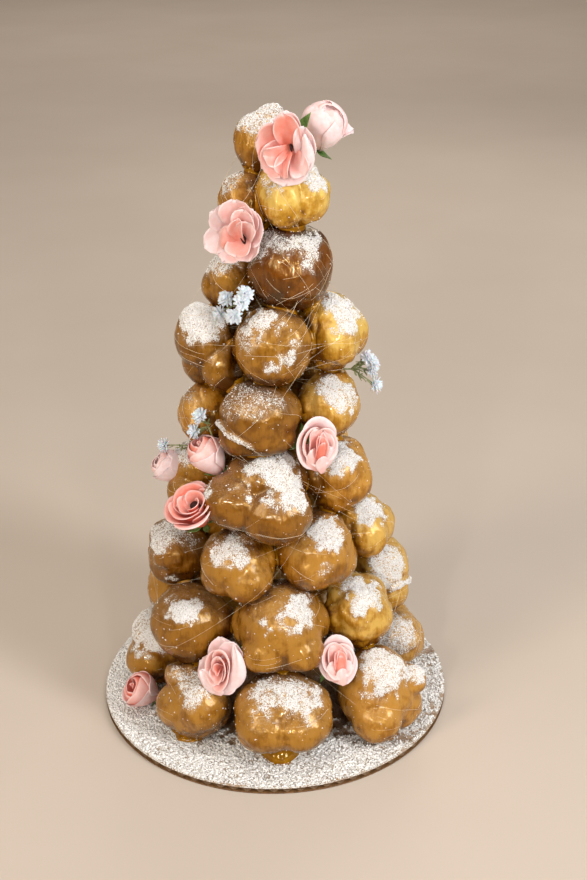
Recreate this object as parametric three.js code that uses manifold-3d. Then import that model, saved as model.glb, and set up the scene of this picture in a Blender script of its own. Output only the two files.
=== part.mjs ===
// A croquembouche: a leaning cone of choux puffs stuck together with caramel on a round cake
// board, with small artificial roses and sprigs of baby's breath tucked between the puffs.
// Millimetres, +Z up. The origin is the middle of the board's underside. A bearing is in degrees
// round the tower: 0 points to the front (-Y) and 90 to the right (+X).
import * as THREE from "three";
import { mergeVertices } from "three/addons/utils/BufferGeometryUtils.js";
import Module from "manifold-3d";

const wasm = await Module();
wasm.setup();

// ---- driving dimensions ---------------------------------------------------------------------
const BOARD_WIDTH = 203; // an eight inch round
const BOARD_THICK = 3.5;
const BOARD_SIDES = 60;
const CLEARANCE = 0.32; // between pieces that touch
const CREASE_SOFTNESS = 0.05; // share of a puff's size over which two lobes blend
const SQUASH_SOFTNESS = 0.05; // share of a puff's size over which a pressed flat rounds off
const BASE_LEVEL = 0.86; // a puff's baked base, below its middle as a share of half its height
const FOOT_WIDTH = 0.25; // the caramel foot that a bottom puff stands on, as a share of its width
const FOOT_SIDES = 8;
const NEAR = 1.5; // puffs further apart than this many times their sizes aren't neighbours
const BEAD_REACH = 6; // the widest gap that a bead of caramel fills
const BEAD_SPREAD = 34; // degrees from a bead's middle to its edge, seen from the puff's middle
const BEAD_PRESS = 0.8; // how far a bead would go past its neighbour's
const PUFF_DETAIL = 2; // how often the edges of a puff's icosahedron are split
const PETALS = 5;
const PETAL_WAVE = 0.07; // how far the petals' rims wave, in half widths
const ROSE_SIDES = 3 * PETALS;
const STEM_WIDTH = 1.2;
const STEM_SIDES = 4;
const STEM_STEPS = 2;
const STEM_ARCH = 1; // how far a stem's middle arches up
const BLOSSOM_SIZE = 4.4;
const SPIKE = 0.62; // how far out the notches between a blossom's petals are

// The lobes that a puff's crust swells into, as [right, out, up, size] in half widths. Out points
// away from the tower.
const LOOKS = {
  round: [[0, 0, 0.04, 0.92], [0.3, 0.2, -0.16, 0.66], [-0.3, 0.16, -0.12, 0.66], [0.08, 0.14, 0.34, 0.66]],
  ball: [[0, 0, 0, 0.97], [0.2, 0.18, 0.2, 0.72]],
  twin: [[0, -0.05, 0.26, 0.72], [-0.31, 0.08, -0.1, 0.7], [0.31, 0.16, -0.08, 0.71], [0, -0.2, -0.2, 0.7]],
  split: [[0, 0, 0.08, 0.91], [-0.34, 0.46, -0.27, 0.51], [0.34, 0.46, -0.27, 0.51]],
  barrel: [
    [-0.28, 0.22, -0.13, 0.71],
    [0.28, 0.22, -0.13, 0.71],
    [-0.31, 0.04, 0.16, 0.68],
    [0.31, 0.04, 0.16, 0.68],
    [0, -0.1, 0.12, 0.82],
  ],
  peaked: [
    [0, 0, -0.12, 0.86],
    [-0.42, 0.1, 0.5, 0.42],
    [0.34, 0.18, 0.06, 0.64],
    [-0.28, 0.24, -0.18, 0.64],
  ],
  lip: [[0.08, 0, 0.14, 0.88], [-0.19, 0.18, -0.4, 0.62], [0.26, 0.16, -0.3, 0.64]],
  paired: [[0, -0.12, 0.2, 0.76], [-0.45, 0.3, -0.05, 0.61], [0.3, 0.36, -0.24, 0.67]],
  chin: [[-0.06, 0, 0.1, 0.9], [0.32, 0.24, -0.22, 0.66], [-0.2, 0.14, -0.24, 0.7]],
  bulge: [[-0.12, 0, 0.16, 0.84], [0.24, 0.38, -0.28, 0.6], [-0.3, 0.1, -0.34, 0.6]],
  budding: [[0, 0.14, 0.24, 0.76], [0.46, -0.26, -0.36, 0.58], [-0.08, 0.24, -0.3, 0.5]],
  leaning: [[0, 0, -0.08, 0.88], [-0.28, 0, 0.36, 0.58], [0.26, 0.1, 0.02, 0.68]],
  square: [[0, 0, 0, 0.84], [-0.32, 0.2, 0.3, 0.6], [0.32, 0.2, 0.3, 0.6], [0, 0.2, -0.3, 0.66]],
  knobbly: [
    [0, 0, -0.08, 0.86], [-0.38, 0.3, -0.34, 0.58], [0.3, 0.34, -0.36, 0.58],
    [0.0, 0.04, 0.3, 0.7], [0.46, 0.62, 0.3, 0.32],
  ],
  pleated: [[-0.44, 0.16, 0, 0.6], [0.08, 0.36, 0.02, 0.6], [0.56, 0.14, 0.04, 0.48], [0, -0.1, 0.08, 0.86]],
  crown: [
    [0, 0, -0.06, 0.88],
    [-0.34, 0.16, 0.26, 0.58],
    [0.34, 0.04, 0.24, 0.6],
    [0, -0.24, 0.3, 0.64],
    [0.04, 0.32, -0.14, 0.64],
  ],
};

// Each tier from the board up. A row is a puff: its bearing, its distance from the middle, its
// height above the table, its width and tallness, and its look.
const TIERS = {
  a: [
    [3, 68, 29, 55, 43, "barrel"],
    [50, 74, 27, 52, 52, "knobbly"],
    [96, 68, 27, 48, 46, "crown"],
    [138, 63, 27, 54, 49, "round"],
    [182, 64, 27, 54, 48, "crown"],
    [226, 61, 27, 54, 49, "split"],
    [268, 65, 27, 48, 46, "bulge"],
    [319, 67, 26, 46, 48, "peaked"],
  ],
  b: [
    [4, 46, 69, 54, 54, "split"],
    [59, 55, 68, 42, 45, "crown"],
    [99, 62, 69, 43, 45, "lip"],
    [147, 50, 70, 54, 49, "twin"],
    [203, 51, 67, 53, 48, "crown"],
    [255, 53, 65, 50, 48, "round"],
    [305, 57, 65, 46, 44, "ball"],
  ],
  c: [
    [335, 45, 107, 44, 39, "chin"],
    [34, 42, 110, 45, 44, "round"],
    [85, 49, 109, 43, 46, "pleated"],
    [131, 47, 108, 42, 42, "round"],
    [179, 46, 103, 46, 44, "twin"],
    [233, 42, 105, 46, 46, "crown"],
    [279, 54, 96, 41, 38, "square"],
  ],
  d: [
    [351, 34, 147, 58, 52, "paired"],
    [67, 39, 148, 40, 44, "crown"],
    [136, 33, 146, 47, 44, "round"],
    [215, 35, 145, 48, 44, "split"],
    [278, 39, 143, 42, 40, "bulge"],
  ],
  e: [
    [344, 28, 187, 48, 42, "lip"],
    [74, 32, 186, 37, 37, "round"],
    [143, 31, 185, 40, 40, "crown"],
    [213, 32, 185, 40, 40, "round"],
    [278, 34, 181, 37, 35, "round"],
  ],
  f: [
    [4, 23, 226, 42, 44, "ball"],
    [81, 33, 226, 40, 48, "pleated"],
    [145, 33, 221, 41, 42, "round"],
    [215, 29, 223, 41, 42, "twin"],
    [282, 33, 220, 40, 48, "budding"],
  ],
  g: [
    [44, 15, 264, 44, 48, "ball"],
    [170, 25, 257, 40, 40, "round"],
    [257, 20, 252, 34, 34, "crown"],
  ],
  h: [
    [45, 17, 301, 40, 41, "pleated"],
    [172, 16, 292, 32, 33, "round"],
    [291, 13, 296, 30, 32, "round"],
  ],
  i: [[205, 5, 326, 31, 36, "leaning"]],
};

// ---- materials ------------------------------------------------------------------------------
const finish = (color, roughness) => new THREE.MeshStandardMaterial({ color, roughness, metalness: 0 });
const CRUST = finish("#b9803a", 0.35);
const BOARD = finish("#e9e2da", 0.6);
const PETAL = finish("#f0a6a0", 0.6);
const BLOSSOM = finish("#eef1f4", 0.8);

// ---- small helpers --------------------------------------------------------------------------
const radians = (degrees) => (degrees * Math.PI) / 180;
const BEAD_EDGE = Math.cos(radians(BEAD_SPREAD));
const STAND = BOARD_THICK + CLEARANCE; // the level that the bottom puffs stand at
const outward = (bearing) => new THREE.Vector3(Math.sin(radians(bearing)), -Math.cos(radians(bearing)), 0);

// The larger of two lengths, with the corner between them rounded over a width k.
function blendMax(a, b, k) {
  const overlap = Math.max(k - Math.abs(a - b), 0) / k;
  return Math.max(a, b) + (overlap * overlap * k) / 4;
}
const blendMin = (a, b, k) => -blendMax(-a, -b, k);

const group = new THREE.Group();
function add(name, geometry, material) {
  const mesh = new THREE.Mesh(geometry, material);
  mesh.name = name;
  group.add(mesh);
  return mesh;
}

// A closed geometry with only shared positions.
function weld(geometry) {
  const bare = geometry.index ? geometry.toNonIndexed() : geometry.clone();
  bare.deleteAttribute("normal");
  bare.deleteAttribute("uv");
  return mergeVertices(bare, 1e-4);
}

function toSolid(geometry) {
  return new wasm.Manifold(
    new wasm.Mesh({
      numProp: 3,
      vertProperties: new Float32Array(geometry.attributes.position.array),
      triVerts: new Uint32Array(geometry.index.array),
    }),
  );
}

function toGeometry(solid) {
  const mesh = solid.getMesh();
  return new THREE.BufferGeometry()
    .setAttribute("position", new THREE.BufferAttribute(new Float32Array(mesh.vertProperties), 3))
    .setIndex(new THREE.BufferAttribute(new Uint32Array(mesh.triVerts), 1));
}

// ---- puffs ----------------------------------------------------------------------------------
class Puff {
  constructor(name, [bearing, reach, height, width, tall, look]) {
    this.name = name;
    this.out = outward(bearing);
    this.right = new THREE.Vector3(-this.out.y, this.out.x, 0);
    this.centre = this.out.clone().multiplyScalar(reach).setZ(height);
    this.halfWidth = width / 2;
    this.halfTall = tall / 2;
    this.lobes = LOOKS[look];
    this.onBoard = name.startsWith("puff_a");
    this.cell = []; // planes where it meets its neighbours, as {normal, distance, bead}
  }

  // How far the free crust reaches from the middle in a direction.
  crust(direction) {
    const local = new THREE.Vector3(
      direction.dot(this.right) / this.halfWidth,
      direction.dot(this.out) / this.halfWidth,
      direction.z / this.halfTall,
    );
    const scale = 1 / local.length();
    local.multiplyScalar(scale);
    let reach = 0;
    for (const [right, out, up, size] of this.lobes) {
      const along = local.x * right + local.y * out + local.z * up;
      const inside = along * along - right * right - out * out - up * up + size * size;
      if (inside > 0) reach = blendMax(reach, along + Math.sqrt(inside), CREASE_SOFTNESS);
    }
    if (local.z < 0) reach = blendMin(reach, -BASE_LEVEL / local.z, SQUASH_SOFTNESS);
    return reach * scale;
  }

  // The puff's surface: its crust, the beads of caramel that hold it to its neighbours, and the
  // flats where they press on it.
  surface(direction) {
    let reach = this.crust(direction);
    for (const { normal, bead } of this.cell) {
      const share = (direction.dot(normal) - BEAD_EDGE) / (1 - BEAD_EDGE);
      if (share > 0) reach += bead * share * share * (3 - 2 * share);
    }
    for (const { normal, distance } of this.cell) {
      const facing = direction.dot(normal);
      if (facing > 0) reach = blendMin(reach, distance / facing, SQUASH_SOFTNESS * this.halfWidth);
    }
    return reach;
  }

  // Meets a plane. gap is what's left between the two free crusts.
  meet(normal, distance, gap) {
    const bead = gap > 0 && gap < BEAD_REACH ? distance - this.crust(normal) + BEAD_PRESS : 0;
    this.cell.push({ normal, distance, bead });
  }

  // A closed ball of triangles out to the puff's surface, grown by swell.
  geometry(detail, swell = 0) {
    const ball = weld(new THREE.IcosahedronGeometry(1, detail));
    const points = ball.attributes.position;
    const direction = new THREE.Vector3();
    for (let i = 0; i < points.count; i++) {
      direction.fromBufferAttribute(points, i).normalize();
      const reach = this.surface(direction) + swell;
      direction.multiplyScalar(reach).add(this.centre);
      points.setXYZ(i, direction.x, direction.y, direction.z);
    }
    return ball;
  }
}

// Presses each pair of neighbours flat against each other, or joins them with caramel, half the
// clearance short of the plane between them. The bottom puffs stop just above the board.
function press(puffs) {
  for (const puff of puffs) {
    if (puff.onBoard) puff.meet(new THREE.Vector3(0, 0, -1), puff.centre.z - STAND, 0);
    for (const other of puffs) {
      if (other === puff) continue;
      const normal = other.centre.clone().sub(puff.centre);
      const apart = normal.length();
      normal.divideScalar(apart);
      const mine = puff.crust(normal);
      const theirs = other.crust(normal.clone().negate());
      if (apart > NEAR * (mine + theirs)) continue;
      const middle = (apart * apart + mine * mine - theirs * theirs) / (2 * apart);
      puff.meet(normal, middle - CLEARANCE / 2, apart - mine - theirs);
    }
  }
}

const puffs = Object.entries(TIERS).flatMap(([tier, rows]) =>
  rows.map((row, i) => new Puff(`puff_${tier}${i + 1}`, row)),
);
press(puffs);

// The foot of caramel that a bottom puff stands on, wider where it meets the board.
function foot(puff) {
  const width = FOOT_WIDTH * puff.halfWidth;
  const top = puff.centre.z - STAND;
  const profile = [[0, 0], [1.2, 0], [0.9, 0.5 * top], [0, 0.5 * top]];
  const points = profile.map(([r, z]) => new THREE.Vector2(r * width, z));
  const turned = new THREE.LatheGeometry(points, FOOT_SIDES).rotateX(Math.PI / 2);
  return toSolid(weld(turned.translate(puff.centre.x, puff.centre.y, STAND)));
}

for (const puff of puffs) {
  const ball = puff.geometry(PUFF_DETAIL);
  add(puff.name, puff.onBoard ? toGeometry(toSolid(ball).add(foot(puff))) : ball, CRUST);
}

// ---- cake board -----------------------------------------------------------------------------
const board = weld(new THREE.CylinderGeometry(BOARD_WIDTH / 2, BOARD_WIDTH / 2, BOARD_THICK, BOARD_SIDES));
board.rotateX(Math.PI / 2).translate(0, 0, BOARD_THICK / 2);
add("cake_board", board, BOARD);

// ---- flowers --------------------------------------------------------------------------------
// Cuts what a flower shares with the pieces it is tucked against, and keeps the rest.
const grown = puffs.map((puff) => toSolid(puff.geometry(PUFF_DETAIL, CLEARANCE)));
const underfoot = new THREE.CylinderGeometry(BOARD_WIDTH / 2, BOARD_WIDTH / 2, STAND, BOARD_SIDES);
underfoot.rotateX(Math.PI / 2).translate(0, 0, STAND / 2);
grown.push(toSolid(weld(underfoot)));

function tuck(solid) {
  const rest = grown.reduce((left, neighbour) => left.subtract(neighbour), solid);
  return rest.decompose().reduce((most, piece) => (piece.volume() > most.volume() ? piece : most));
}

// A frame at a flower: forward is where it faces, and up is the top of its face.
function facing([bearing, tilt], [place, reach, height]) {
  const level = outward(bearing);
  const forward = level.clone().multiplyScalar(Math.cos(radians(tilt))).setZ(Math.sin(radians(tilt)));
  const right = new THREE.Vector3(-level.y, level.x, 0);
  const up = forward.clone().cross(right);
  const origin = outward(place).multiplyScalar(reach).setZ(height);
  return new THREE.Matrix4().makeBasis(right, up, forward).setPosition(origin);
}

// A rose's section from the stem's tip, over the rims of its three rows of petals, to its heart,
// as [radius, forward] in half widths.
const ROSE_SECTIONS = {
  bud: [
    [0, -1.15], [0.38, -0.82], [0.88, -0.3], [1.0, 0.15], [0.86, 0.55],
    [0.72, 0.42], [0.64, 0.72], [0.46, 0.5], [0.34, 0.82], [0.14, 0.6], [0, 0.62],
  ],
  bloom: [
    [0, -0.95], [0.14, -0.8], [0.34, -0.5], [0.74, -0.2], [1.0, 0.12], [0.84, 0.1],
    [0.62, -0.04], [0.6, 0.3], [0.42, 0.12], [0.28, 0.34], [0.12, 0.0], [0, -0.02],
  ],
};

function rose(name, place, aim, width, tall, section) {
  const profile = ROSE_SECTIONS[section].map(([r, forward]) => new THREE.Vector2(r, forward));
  const head = weld(new THREE.LatheGeometry(profile, ROSE_SIDES).rotateX(Math.PI / 2));
  const points = head.attributes.position;
  for (let i = 0; i < points.count; i++) {
    const [x, y, z] = [points.getX(i), points.getY(i), points.getZ(i)];
    const radius = Math.hypot(x, y);
    const wave = PETAL_WAVE * Math.cos(PETALS * Math.atan2(y, x) + 6 * radius) * radius;
    points.setXYZ(i, x * (1 + wave), y * (1 + wave), z + wave);
  }
  const sized = (swell) => {
    const copy = head.clone().scale(width / 2 + swell, tall / 2 + swell, width / 2 + swell);
    return toSolid(copy.applyMatrix4(facing(aim, place)));
  };
  add(name, toGeometry(tuck(sized(0))), PETAL);
  grown.push(sized(CLEARANCE));
}

// Each rose's place as [bearing, reach, height], the way it faces as [bearing, tilt], its width
// and tallness across the face, and whether it is a bud or a bloom.
rose("rose_top", [16, 30, 329], [-12, 2], 29, 36, "bloom");
rose("rose_crown", [85, 28, 334], [40, 62], 25, 25, "bud");
rose("rose_neck", [-32, 31, 288], [-18, 6], 31, 33, "bloom");
rose("rose_left", [-50, 44, 166], [-70, 60], 23, 23, "bud");
rose("rose_right", [32, 43, 176], [24, 8], 25, 31, "bud");
rose("rose_low_left", [-45, 60, 143], [-38, 58], 31, 30, "bloom");
rose("rose_behind", [-83, 56, 149], [-80, 40], 20, 22, "bud");
rose("rose_front_left", [-24, 67, 55], [-24, 14], 27, 32, "bud");
rose("rose_front_right", [31, 66, 54], [12, 30], 24, 28, "bud");
rose("rose_on_board", [-70, 82, 15], [-58, 44], 21, 25, "bud");

// A sprig of baby's breath: a stem from its root to its fork, and one from there to each small
// blossom, all of them placed by [bearing, reach, height].
function stem(from, to) {
  const middle = from.clone().lerp(to, 0.5).add(new THREE.Vector3(0, 0, STEM_ARCH));
  const outline = new THREE.EllipseCurve(0, 0, STEM_WIDTH / 2, STEM_WIDTH / 2).getPoints(STEM_SIDES);
  const along = {
    steps: STEM_STEPS,
    bevelEnabled: false,
    extrudePath: new THREE.QuadraticBezierCurve3(from, middle, to),
  };
  return toSolid(weld(new THREE.ExtrudeGeometry(new THREE.Shape(outline.slice(1)), along)));
}

function blossom(centre) {
  const ball = weld(new THREE.IcosahedronGeometry(BLOSSOM_SIZE, 1));
  const points = ball.attributes.position;
  for (let i = 0; i < points.count; i++) {
    const share = i % 2 ? SPIKE : 1;
    points.setXYZ(i, points.getX(i) * share, points.getY(i) * share, points.getZ(i) * share);
  }
  return toSolid(ball.translate(centre.x, centre.y, centre.z));
}

function sprig(name, root, fork, places) {
  const at = ([bearing, reach, height]) => outward(bearing).multiplyScalar(reach).setZ(height);
  const whole = places
    .map((place) => stem(at(fork), at(place)).add(blossom(at(place))))
    .reduce((sum, piece) => sum.add(piece), stem(at(root), at(fork)));
  add(name, toGeometry(tuck(whole)), BLOSSOM);
}

sprig("sprig_neck", [-45, 18, 248], [-38, 25, 249], [
  [-44, 31, 252],
  [-24, 30, 256],
  [-26, 32, 252],
  [-52, 32, 243],
  [-32, 34, 245],
]);
sprig("sprig_left", [-50, 40, 174], [-52, 42, 182], [
  [-54, 46, 189],
  [-57, 48, 180],
]);
sprig("sprig_far_left", [-60, 36, 166], [-68, 44, 166], [[-80, 59, 164]]);
sprig("sprig_right", [84, 32, 205], [84, 43, 205], [
  [80, 52, 213],
  [83, 54, 209],
  [84, 54, 205],
  [84, 56, 196],
]);

export default group;
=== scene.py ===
# A croquembouche: choux puffs glazed and joined with caramel, dusted with powdered sugar, wrapped
# in spun sugar, dressed with fabric roses and baby's breath, on a corrugated cake board.
# Tables are in millimetres and degrees. A bearing is 0 at the front (-Y) and 90 at the right (+X).
import itertools
import math

import bmesh
import bpy
import numpy as np
from mathutils import Matrix, Vector
from mathutils.bvhtree import BVHTree


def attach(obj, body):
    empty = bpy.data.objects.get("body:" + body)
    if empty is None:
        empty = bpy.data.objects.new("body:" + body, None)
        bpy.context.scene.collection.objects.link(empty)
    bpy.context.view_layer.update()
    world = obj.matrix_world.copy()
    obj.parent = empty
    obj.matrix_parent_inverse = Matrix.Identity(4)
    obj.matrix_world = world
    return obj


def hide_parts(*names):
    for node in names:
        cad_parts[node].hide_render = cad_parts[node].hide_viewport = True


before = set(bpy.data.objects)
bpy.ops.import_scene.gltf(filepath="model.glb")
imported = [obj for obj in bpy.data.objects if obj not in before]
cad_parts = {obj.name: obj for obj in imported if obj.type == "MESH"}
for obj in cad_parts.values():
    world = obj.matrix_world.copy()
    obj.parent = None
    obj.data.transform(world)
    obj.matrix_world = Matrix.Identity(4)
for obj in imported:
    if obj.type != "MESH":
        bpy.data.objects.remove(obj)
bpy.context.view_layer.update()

MM = 0.001

# ---- the tower's sizes, as in the frame ------------------------------------------------------
BOARD_WIDTH = 203
BOARD_THICK = 3.5
CLEARANCE = 0.32  # left between pieces that touch
STAND = BOARD_THICK + CLEARANCE
CREASE_SOFTNESS = 0.05  # how round the crease between two lobes is, in half widths
SQUASH_SOFTNESS = 0.05  # and the edge of a side that is pressed flat
BASE_LEVEL = 0.86  # how far the flat baked base is below the middle, in half heights
NEAR = 1.5  # puffs within this many times their reach press on each other
BEAD_REACH = 6  # the widest gap that a bead of caramel closes
BEAD_EDGE = math.cos(math.radians(34))  # a bead's spread round the way to its neighbour
BEAD_PRESS = 0.8  # how far a bead is pressed into its flat end
# Heights of the crust's unevenness, in millimetres.
SWELL_HEIGHT, KNOB_HEIGHT, CREPE_HEIGHT = 0.75, 0.4, 0.12
FOLD_DEPTH, PLEAT_DEPTH, CRACK_DEPTH = 0.34, 0.75, 0.75
LIP_HEIGHT = 1.9  # how far a torn edge stands up

LOOKS = {  # lobes as right, out, up, size in half widths
    "round": [(0, 0, 0.04, 0.92), (0.3, 0.2, -0.16, 0.66), (-0.3, 0.16, -0.12, 0.66),
              (0.08, 0.14, 0.34, 0.66)],
    "ball": [(0, 0, 0, 0.97), (0.2, 0.18, 0.2, 0.72)],
    "twin": [(0, -0.05, 0.26, 0.72), (-0.31, 0.08, -0.1, 0.7), (0.31, 0.16, -0.08, 0.71),
             (0, -0.2, -0.2, 0.7)],
    "paired": [(0, -0.12, 0.2, 0.76), (-0.45, 0.3, -0.05, 0.61), (0.3, 0.36, -0.24, 0.67)],
    "split": [(0, 0, 0.08, 0.91), (-0.34, 0.46, -0.27, 0.51), (0.34, 0.46, -0.27, 0.51)],
    "barrel": [(-0.28, 0.22, -0.13, 0.71), (0.28, 0.22, -0.13, 0.71), (-0.31, 0.04, 0.16, 0.68),
               (0.31, 0.04, 0.16, 0.68), (0, -0.1, 0.12, 0.82)],
    "peaked": [(0, 0, -0.12, 0.86), (-0.42, 0.1, 0.5, 0.42), (0.34, 0.18, 0.06, 0.64),
               (-0.28, 0.24, -0.18, 0.64)],
    "lip": [(0.08, 0, 0.14, 0.88), (-0.19, 0.18, -0.4, 0.62), (0.26, 0.16, -0.3, 0.64)],
    "chin": [(-0.06, 0, 0.1, 0.9), (0.32, 0.24, -0.22, 0.66), (-0.2, 0.14, -0.24, 0.7)],
    "bulge": [(-0.12, 0, 0.16, 0.84), (0.24, 0.38, -0.28, 0.6), (-0.3, 0.1, -0.34, 0.6)],
    "budding": [(0, 0.14, 0.24, 0.76), (0.46, -0.26, -0.36, 0.58), (-0.08, 0.24, -0.3, 0.5)],
    "leaning": [(0, 0, -0.08, 0.88), (-0.28, 0, 0.36, 0.58), (0.26, 0.1, 0.02, 0.68)],
    "square": [(0, 0, 0, 0.84), (-0.32, 0.2, 0.3, 0.6), (0.32, 0.2, 0.3, 0.6),
               (0, 0.2, -0.3, 0.66)],
    "knobbly": [(0, 0, -0.08, 0.86), (-0.38, 0.3, -0.34, 0.58), (0.3, 0.34, -0.36, 0.58),
                (0.0, 0.04, 0.3, 0.7), (0.46, 0.62, 0.3, 0.32)],
    "pleated": [(-0.44, 0.16, 0, 0.6), (0.08, 0.36, 0.02, 0.6), (0.56, 0.14, 0.04, 0.48),
                (0, -0.1, 0.08, 0.86)],
    "crown": [(0, 0, -0.06, 0.88), (-0.34, 0.16, 0.26, 0.58), (0.34, 0.04, 0.24, 0.6),
              (0, -0.24, 0.3, 0.64), (0.04, 0.32, -0.14, 0.64)],
}

# Puffs as bearing, reach, height, width, tallness, look and tone, which goes from 0, pale gold,
# to 1, dark brown.
TIERS = {
    "a": [(3, 68, 29, 55, 43, "barrel", 0.63), (50, 74, 27, 52, 52, "knobbly", 0.5),
          (96, 68, 27, 48, 46, "crown", 0.3), (138, 63, 27, 54, 49, "round", 0.45),
          (182, 64, 27, 54, 48, "crown", 0.35), (226, 61, 27, 54, 49, "split", 0.55),
          (268, 65, 27, 48, 46, "bulge", 0.62), (319, 67, 26, 46, 48, "peaked", 0.6)],
    "b": [(4, 46, 69, 54, 54, "split", 0.61), (59, 55, 68, 42, 45, "crown", 0.18),
          (99, 62, 69, 43, 45, "lip", 0.2), (147, 50, 70, 54, 49, "twin", 0.4),
          (203, 51, 67, 53, 48, "crown", 0.5), (255, 53, 65, 50, 48, "round", 0.55),
          (305, 57, 65, 46, 44, "ball", 0.78)],
    "c": [(335, 45, 107, 44, 39, "chin", 0.62), (34, 42, 110, 45, 44, "round", 0.54),
          (85, 49, 109, 43, 46, "pleated", 0.2), (131, 47, 108, 42, 42, "round", 0.35),
          (179, 46, 103, 46, 44, "twin", 0.5), (233, 42, 105, 46, 46, "crown", 0.42),
          (279, 54, 96, 41, 38, "square", 0.85)],
    "d": [(351, 34, 147, 58, 52, "paired", 0.85), (67, 39, 148, 40, 44, "crown", 0.38),
          (136, 33, 146, 47, 44, "round", 0.3), (215, 35, 145, 48, 44, "split", 0.6),
          (278, 39, 143, 42, 40, "bulge", 0.7)],
    "e": [(344, 28, 187, 48, 42, "lip", 0.82), (74, 32, 186, 37, 37, "round", 0.26),
          (143, 31, 185, 40, 40, "crown", 0.5), (213, 32, 185, 40, 40, "round", 0.35),
          (278, 34, 181, 37, 35, "round", 0.4)],
    "f": [(4, 23, 226, 42, 44, "ball", 0.66), (81, 33, 226, 40, 48, "pleated", 0.07),
          (145, 33, 221, 41, 42, "round", 0.4), (215, 29, 223, 41, 42, "twin", 0.3),
          (282, 33, 220, 40, 48, "budding", 0.74)],
    "g": [(44, 15, 264, 44, 48, "ball", 1.0), (170, 25, 257, 40, 40, "round", 0.5),
          (257, 20, 252, 34, 34, "crown", 0.62)],
    "h": [(45, 17, 301, 40, 41, "pleated", 0.04), (172, 16, 292, 32, 33, "round", 0.3),
          (291, 13, 296, 30, 32, "round", 0.5)],
    "i": [(205, 5, 326, 31, 36, "leaning", 0.56)],
}

# Where sugar settled on a puff, as the bearing and tilt of each patch's middle, how far it spreads
# in degrees, and how thick it lies. A puff that isn't named has one cap on its upper outer side.
SUGAR_PATCHES = {
    "i1": [(-16, 74, 52, 0.78)],
    "h1": [(55, 50, 26, 0.85), (-30, 44, 22, 0.55), (-12, 30, 9, 0.55), (10, 60, 24, 0.5)],
    "h3": [(-49, 60, 30, 0.6)],
    "g1": [(8, 74, 36, 1.0), (36, 50, 20, 1.0), (30, 30, 15, 0.62), (36, 10, 9, 0.55),
           (-57, 38, 18, 0.6), (-30, 58, 24, 0.7)],
    "g3": [(-60, 66, 46, 0.7)],
    "f5": [(-16, 64, 46, 1.1), (-14, 34, 13, 1.0)],
    "f1": [(-32, 60, 28, 0.8), (19, 13, 12, 0.75), (-6, -6, 7, 0.75), (-50, 30, 22, 0.45)],
    "f2": [(30, 54, 32, 0.95), (56, 50, 28, 0.85), (0, 66, 26, 0.7)],
    "e1": [(-12, 66, 40, 0.46), (-50, 44, 24, 0.42), (30, 60, 16, 0.5)],
    "e2": [(22, 46, 26, 0.9), (40, 26, 20, 0.85), (0, 60, 20, 0.7)],
    "e5": [(-60, 60, 26, 0.4)],
    "d1": [(32, 54, 30, 1.0), (0, 72, 26, 1.0), (40, 34, 23, 1.0), (8, 25, 9, 0.95),
           (-30, 34, 5, 0.9), (-75, 16, 6, 0.9)],
    "d2": [(0, 56, 34, 1.0), (32, 50, 26, 1.0)],
    "c7": [(-50, 60, 34, 0.8), (20, 66, 30, 0.5), (50, 44, 10, 0.6), (-14, -28, 8, 0.6)],
    "c1": [(-24, 58, 26, 0.85), (8, 44, 14, 0.7)],
    "c2": [(30, 56, 26, 1.0), (13, 4, 8, 0.5)],
    "c3": [(26, 54, 27, 1.0)],
    "b7": [(-12, 56, 21, 1.0), (6, 50, 12, 0.8), (-50, 60, 16, 0.5)],
    "b1": [(42, 47, 19, 1.0), (-22, 33, 7, 0.8), (6, 37, 9, 0.55)],
    "b2": [(14, 58, 33, 1.0), (-6, 36, 15, 0.9), (34, 34, 14, 0.8)],
    "b3": [(20, 34, 38, 0.85)],
    "a8": [(-14, 54, 29, 0.72), (-60, 56, 20, 0.6)],
    "a1": [(0, 78, 33, 0.74), (36, 56, 23, 0.85), (-38, 60, 21, 0.62)],
    "a2": [(12, 64, 36, 0.9), (-30, 52, 20, 0.6), (72, 38, 14, 1.0)],
    "a3": [(0, 34, 42, 0.75)],
    "a7": [(-20, 46, 32, 0.9), (-80, 60, 40, 0.8)],
}
# The usual cap's bearing from its puff's, tilt, spread and thickness, each with how much it varies
# and the seed of that.
USUAL_PATCH = [(12, 20, 10), (62, 10, 11), (33, 10, 9), (0.84, 0.14, 12)]
PATCH_EDGE = 10  # degrees over which a patch thins out
SUGAR_FALL = 30  # sugar falls at least this steeply
HAZE = 0.15  # the thin dusting on all that faces up
HAZE_FALL = 70
SUGAR_THICK = 0.5  # the crusted layer where sugar lies deep
# How thick glaze lies everywhere, and the darkening in nooks (glaze and painted shade), underneath
# and in creases (painted shade).
GLAZE_FILM, NOOK_GLAZE_AND_SHADE, UNDER_SHADE, CREASE_SHADE = 0.08, 0.75, 0.6, 0.6

PUFF_SPLITS = 19  # cuts in each edge of a puff's icosahedron

# ---- helpers: shapes -------------------------------------------------------------------------
HASH = np.array([374761393, 668265263, 2147483647])  # scatters the cells of the noise


def outward(bearing):
    """The level direction at a bearing."""
    angle = np.radians(bearing)
    return np.stack([np.sin(angle), -np.cos(angle), np.zeros_like(angle)], axis=-1)


def at(bearing, reach, height):
    """The place at a bearing, reach and height."""
    return outward(bearing) * reach + np.array([0, 0, height])


def aim(bearing, tilt):
    """The direction at a bearing, raised by tilt."""
    rise = math.radians(tilt)
    return outward(bearing) * math.cos(rise) + np.array([0, 0, math.sin(rise)])


def unit(vectors):
    return vectors / np.maximum(np.linalg.norm(vectors, axis=-1, keepdims=True), 1e-9)


def ramp(value, low, high):
    """0 below low, 1 above high, and smooth in between."""
    share = np.clip((value - low) / (high - low), 0, 1)
    return share * share * (3 - 2 * share)


def blend_max(a, b, k):
    """The larger of two values, with the step between them rounded off over k."""
    overlap = np.maximum(k - np.abs(a - b), 0) / k
    return np.maximum(a, b) + overlap * overlap * k / 4


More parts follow.
